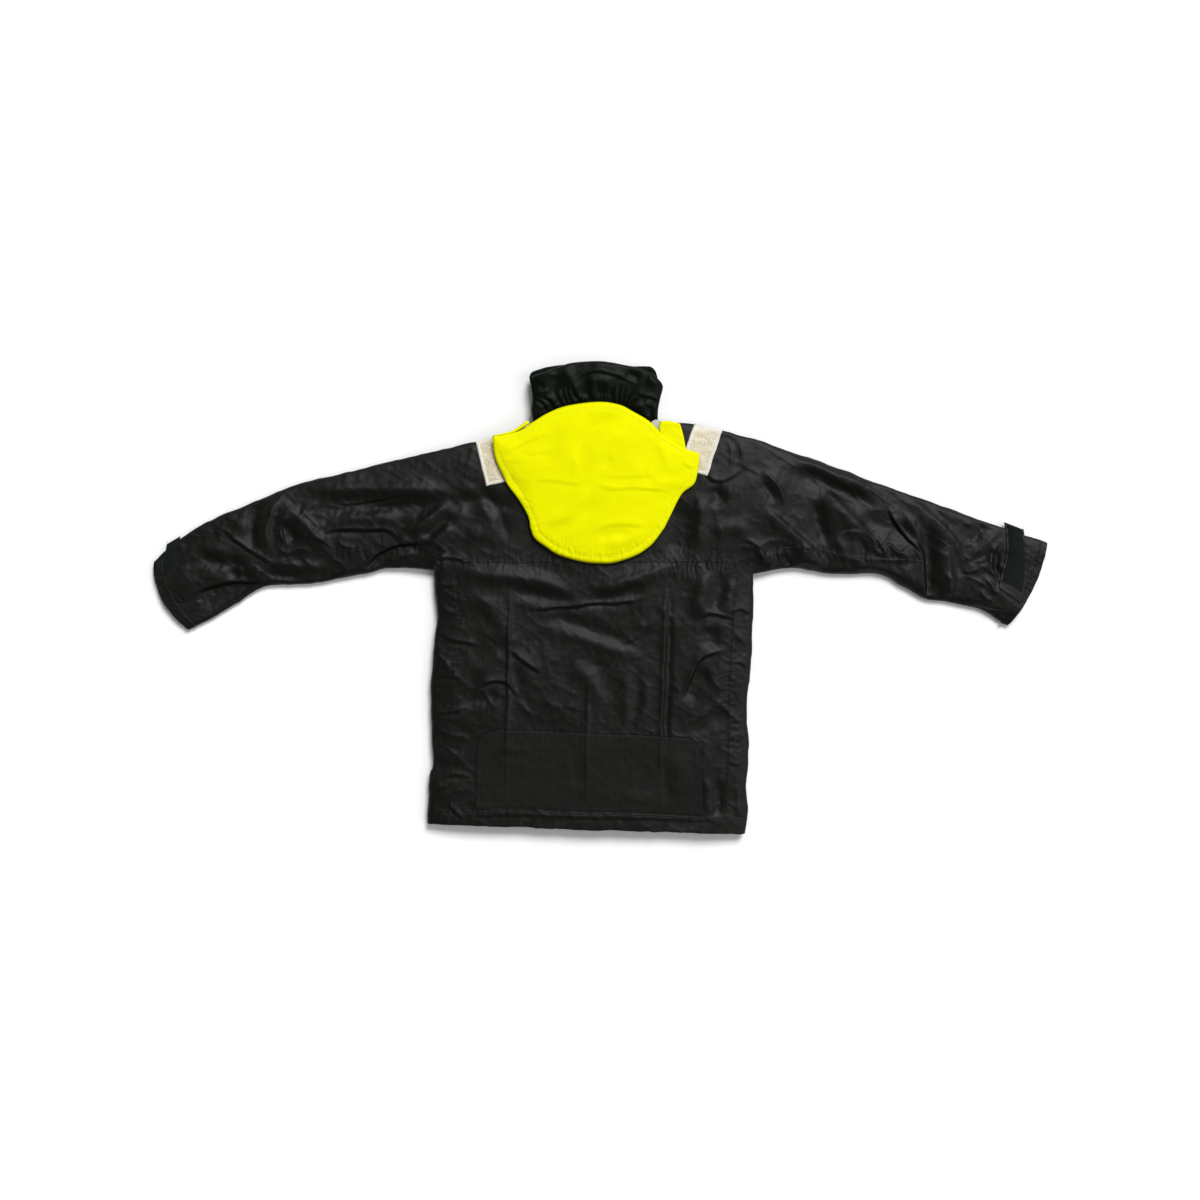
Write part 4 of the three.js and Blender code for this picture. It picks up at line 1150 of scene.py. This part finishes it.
def collar_detail(x, y, _):
    side, far = along(x, y, ELASTIC)
    length = length_of(ELASTIC)
    wander = 0.5 * noise(x, y, 16, 41)
    fine = np.abs(np.sin(np.pi * (far * length / 5.4 + wander)))
    broad = np.sin(2 * np.pi * (far * length / 17 + 1.3 * noise(x, y, 34, 42)))
    z = 3.2 * (fine - 0.4) * np.exp(-np.maximum(side, 0) / 11)
    z += 2.2 * broad * np.exp(-(((side - 15) / 13) ** 2))
    z -= 3.0 * np.exp(-((side / 5) ** 2))
    z += folded(x, y, COLLAR_FOLDS) + 0.8 * noise(x, y, 30, 43) + 0.5 * crinkle(x, y, 18, 44, 50, 2)
    return z + 0.15 * noise(x, y, 7, 45)


COLLAR_BACK = (xy("-122,318 -60,314 40,314 107,318"),
               xy("-130,407 -112,414 -92,421 -72,428 -50,434 -8,437 18,435 44,430 74,424 98,413 113,398"),
               xy("-122,318 -127,346 -125,369 -130,407"),
               xy("107,318 107,346 111,368 116,388 113,398"))
COLLAR_FRONT = (xy("-118,330 -60,326 40,326 104,330"),
                xy("-131,409 -126,418 -110,424 -95,428 -60,432 0,432 50,429 84,429 94,428 102,421 106,410"),
                [(-118, 330), (-124, 372), (-131, 409)],
                [(104, 330), (108, 372), (106, 410)])
collar_tilt = lambda x, y: 0.06 * np.clip(y - 324, 0, 110)
parts = Parts()
collar_cell = 1.7
pillow(parts, COLLAR_BACK, (19.0, 25.0, 31.5), collar_cell, 6.0, 16, collar_detail, collar_tilt)
collar = finish(tidy(parts.piece("collar_back")), "shell_fabric")
# the collar keeps the shell fabric's slot but wears its painted-shade copy
collar.data.materials[0] = COLLAR_SHADE
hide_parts("collar_shell", "collar_elastic")
parts = Parts()
front_detail = lambda x, y, d: 0.9 * noise(x, y, 22, 46) + 0.6 * crinkle(x, y, 14, 47, 30, 2)
pillow(parts, COLLAR_FRONT, (9.6, 14.0, 18.0), 3.5, 4.0, 14, front_detail, collar_tilt)
collar_front = finish(tidy(parts.piece("collar_front")), "fleece")
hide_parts("collar_fleece")
parts = Parts()
TAB = ([(90, 305), (99, 306), (112, 304)], [(94, 325), (103, 329), (115, 325)],
       [(90, 305), (94, 325)], [(112, 304), (115, 325)])
pillow(parts, TAB, (33.0, 34.0, 35.6), 1.5, 1.2, 6, lambda x, y, d: 0.5 * noise(x, y, 8, 48))
tab = finish(tidy(parts.piece("collar_loop")), "grey_tape")
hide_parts("collar_tab")
for piece in (collar, collar_front, tab):
    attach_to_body(piece, "root")


# ---------- cuff tabs ----------
CUFF_TABS = {  # middle line from the sewn end, half its width, half the pad's width, where the pad begins
    "right": dict(path=xy("751,4 757,24 766,60 770,100 768,134"), half=18.0, pad=14.0, start=0.16,
                  slant=0.42),
    "left": dict(path=xy("-742,-4 -762,16 -780,36 -791,60 -792,108"), half=12.5, pad=11.0, start=0.60,
                 slant=-0.6),
}
TAB_RISE = [-0.6, 1.3, 1.8, 1.4, 1.4, 1.4, 1.4]  # from an edge to the middle
PAD_RISE = [0, 0, 0, 0, 0, 1.0, 1.0]
LOOP_RISE = [-0.4, 0.7, 0.8, 0.8]
TAB_COLUMNS, HOOK_COLUMNS, SPARE = 13, (4, 8), 3  # SPARE rows and columns of the tab reach past its loop pad


def mirrored(half):
    """A row of values from an edge to the middle, and back to the other edge."""
    return np.array(half + half[-2::-1])


for side, tab in CUFF_TABS.items():
    parts = Parts()
    h, w, start = tab["half"], tab["pad"], tab["start"]
    steps = (h, h - 0.5, h - 1.6, w + 0.6, w, w - 0.5, 0)
    plan = offsets(tab["path"], steps + tuple(-k for k in steps[-2::-1]), 2.0)
    plan[..., 1] -= tab["slant"] * (plan[..., 0] - plan[:, 6:7, 0])
    run = np.linspace(0, 1, len(plan))[:, None]
    pad = smooth(run, start - 0.012, start + 0.012)
    rise = mirrored(TAB_RISE)[None] + pad * mirrored(PAD_RISE)[None]
    ends = smooth(run, 0, 0.03) * smooth(1 - run, 0, 0.02)
    p = on_cloth(plan, rise * ends - 0.6 * (1 - ends))
    p[..., 2] -= 5.0 * (np.clip(run - 0.88, 0, 1) / 0.12) ** 2
    faces = grid_faces(len(p), TAB_COLUMNS)[:, ::-1]
    columns, row = faces % TAB_COLUMNS, faces.min(1) // TAB_COLUMNS
    hook = (columns.min(1) >= HOOK_COLUMNS[0]) & (columns.max(1) <= HOOK_COLUMNS[1])
    hook &= row >= int(start * len(p))
    parts.add(p, faces[~hook], 1)
    parts.add(p, faces[hook], 0)
    stitches(parts, lambda plan, rise: on_cloth(plan, rise + 1.2), tab["path"], (h - 2.6, 2.6 - h), 2)
    under = Parts()
    p = on_cloth(plan[SPARE:-SPARE, SPARE:-SPARE], mirrored(LOOP_RISE))
    under.add(p, grid_faces(len(p), TAB_COLUMNS - 2 * SPARE)[:, ::-1])
    loops = finish(under.piece(f"{side}_loop_pad"), "hook_and_loop")
    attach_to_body(loops, f"{side}_forearm")
    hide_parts(f"{side}_cuff_loop_patch")
    piece = finish(parts.piece(f"{side}_tab"), "hook_and_loop", SHELL, THREAD)
    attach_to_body(piece, f"{side}_cuff_tab")
    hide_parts(f"{side}_cuff_tab")


# ---------- the front, which lies underneath ----------
def soft_piece(name, sides, levels, slot, body, node, cell=5.0, roll=2.0, soft=10.0, bumps=0.4, seed=61):
    """A thin closed piece between four sides, with a little unevenness. It stands for one CAD node."""
    parts = Parts()
    uneven = lambda x, y, _: bumps * (noise(x, y, 40, seed) + 0.5 * noise(x, y, 16, seed + 1))
    pillow(parts, sides, levels, cell, roll, soft, uneven)
    piece = finish(tidy(parts.piece(name)), slot)
    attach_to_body(piece, body)
    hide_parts(node)


def box_sides(node, inset=0.0):
    """The four plan sides of a node's box, in mm."""
    low, high = (np.array(corner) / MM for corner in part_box(node))
    x0, y0, x1, y1 = low[0] + inset, low[1] + inset, high[0] - inset, high[1] - inset
    return [(x0, y0), (x1, y0)], [(x0, y1), (x1, y1)], [(x0, y0), (x0, y1)], [(x1, y0), (x1, y1)]


def levels_of(node, rim=0.5):
    """The underside, rim and crown of a piece that fills a node's box, in mm."""
    low, high = (corner[2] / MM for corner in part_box(node))
    return low + 0.05, low + rim * (high - low), high


FRONTS = {  # bottom, top, left and right side
    "left": (
        [(-300, -402), (-24, -408)],
        xy("-264,272 -198,282 -124,306 -24,312"),
        xy("-300,-402 -295,-300 -299,-190 -295,-97 -291,-20 -306,58 -287,160 -264,272"),
        [(-24, -408), (-24, 312)]),
    "right": (
        [(8, -408), (254, -417)],
        xy("8,312 110,310 173,306 263,288"),
        [(8, -408), (8, 312)],
        xy("254,-417 257,-338 259,-240 258,-186 265,-130 270,-20 284,54 275,170 263,288")),
}
for side, sides in FRONTS.items():
    panel, inside, pocket, flap = [f"{side}_{part}" for part in ("front_panel", "front_lining", "cargo_pocket",
                                                                 "pocket_flap")]
    soft_piece(f"{side}_front", sides, levels_of(panel), "shell_fabric", "root", panel)
    soft_piece(f"{side}_front_inside", sides, levels_of(inside), "lining", "root", inside, bumps=0.2, cell=8)
    soft_piece(f"{side}_pocket", box_sides(pocket, 0.5), levels_of(pocket, 0.6), "shell_fabric", "root", pocket,
               4.0, 4.0, 20.0)
    soft_piece(f"{side}_flap", box_sides(flap, 0.3), levels_of(flap), "shell_fabric", flap, flap,
               4.0, 1.2, bumps=0.2)
soft_piece("back_inside", box_sides("back_lining", 6), levels_of("back_lining"), "lining", "root",
           "back_lining", bumps=0.2, cell=8)
soft_piece("storm_cover", box_sides("storm_flap"), levels_of("storm_flap"), "shell_fabric", "storm_flap",
           "storm_flap", 4.0, 1.2, bumps=0.3)

SEAL_LEVELS = (2.6, 4.8, 7.0)
for side in SIDES:
    low, high = (np.array(SLEEVE[side][edge][-1], float) for edge in ("bottom", "top"))
    width = np.linalg.norm(high - low)
    over = (high - low) / width
    inward = np.array([over[1], -over[0]]) * (1 if side == "left" else -1)
    at = lambda across, deep: tuple(low + over * across + inward * deep)
    mouth_low, mouth_high, deep_low, deep_high = at(30, 14), at(width - 18, 14), at(34, 95), at(width - 22, 95)
    sides = ([mouth_low, deep_low], [mouth_high, deep_high], [mouth_low, mouth_high], [deep_low, deep_high])
    if side == "right":
        sides = ([deep_low, mouth_low], [deep_high, mouth_high], [deep_low, deep_high], [mouth_low, mouth_high])
    soft_piece(f"{side}_wrist_seal", sides, SEAL_LEVELS, "lining", f"{side}_forearm", f"{side}_inner_cuff",
               3.0, 4.0)


# ---------- what is left of the CAD keeps its shape and gets a finish ----------
for row in frame["record"]["subparts"]:
    node = frame["nodes"][row["node"]]
    if not node.material_slots:
        node.data.materials.append(None)
    for place in node.material_slots:
        place.material = SLOTS[row["material_slot"]]


# ---------- studio ----------
WORLD_LIGHT = 0.23
LIGHTS = (("key", (0.45, 1.0, 1.3), 3.0, 26),  # name, direction it comes from, strength, degrees wide
          ("side", (1.0, -0.25, 1.0), 0.75, 45))
FLOOR_REACH, FLOOR_Z = 20, -0.0004  # m
LENS, SENSOR = 50, 36  # mm
CAMERA_AT = (0, -0.003, 3.1)  # m


def studio():
    """The pale floor, the lights and the camera straight above."""
    scene = bpy.context.scene
    scene.view_settings.view_transform = "Standard"
    corners = [(FLOOR_REACH * a, FLOOR_REACH * b, FLOOR_Z) for a, b in ((-1, -1), (1, -1), (1, 1), (-1, 1))]
    floor = new_mesh("floor", corners, [(0, 1, 2, 3)])
    floor.data.materials.append(material("floor", (0.93, 0.93, 0.93), 0.9, 0.1, mottle=0.004, mottle_size=0.4))
    world = bpy.data.worlds.new("studio")
    scene.world = world
    world.use_nodes = True
    background = world.node_tree.nodes["Background"]
    background.inputs["Color"].default_value = (1, 1, 1, 1)
    background.inputs["Strength"].default_value = WORLD_LIGHT
    for name, towards, strength, spread in LIGHTS:
        light = bpy.data.lights.new(name, "SUN")
        light.energy, light.angle = strength, math.radians(spread)
        lamp = bpy.data.objects.new(name, light)
        scene.collection.objects.link(lamp)
        lamp.location = Vector(towards) * 3
        lamp.rotation_euler = Vector(towards).to_track_quat("Z", "Y").to_euler()
    camera = bpy.data.objects.new("camera", bpy.data.cameras.new("camera"))
    scene.collection.objects.link(camera)
    camera.data.lens, camera.data.sensor_width = LENS, SENSOR
    camera.location = CAMERA_AT
    scene.camera = camera


studio()
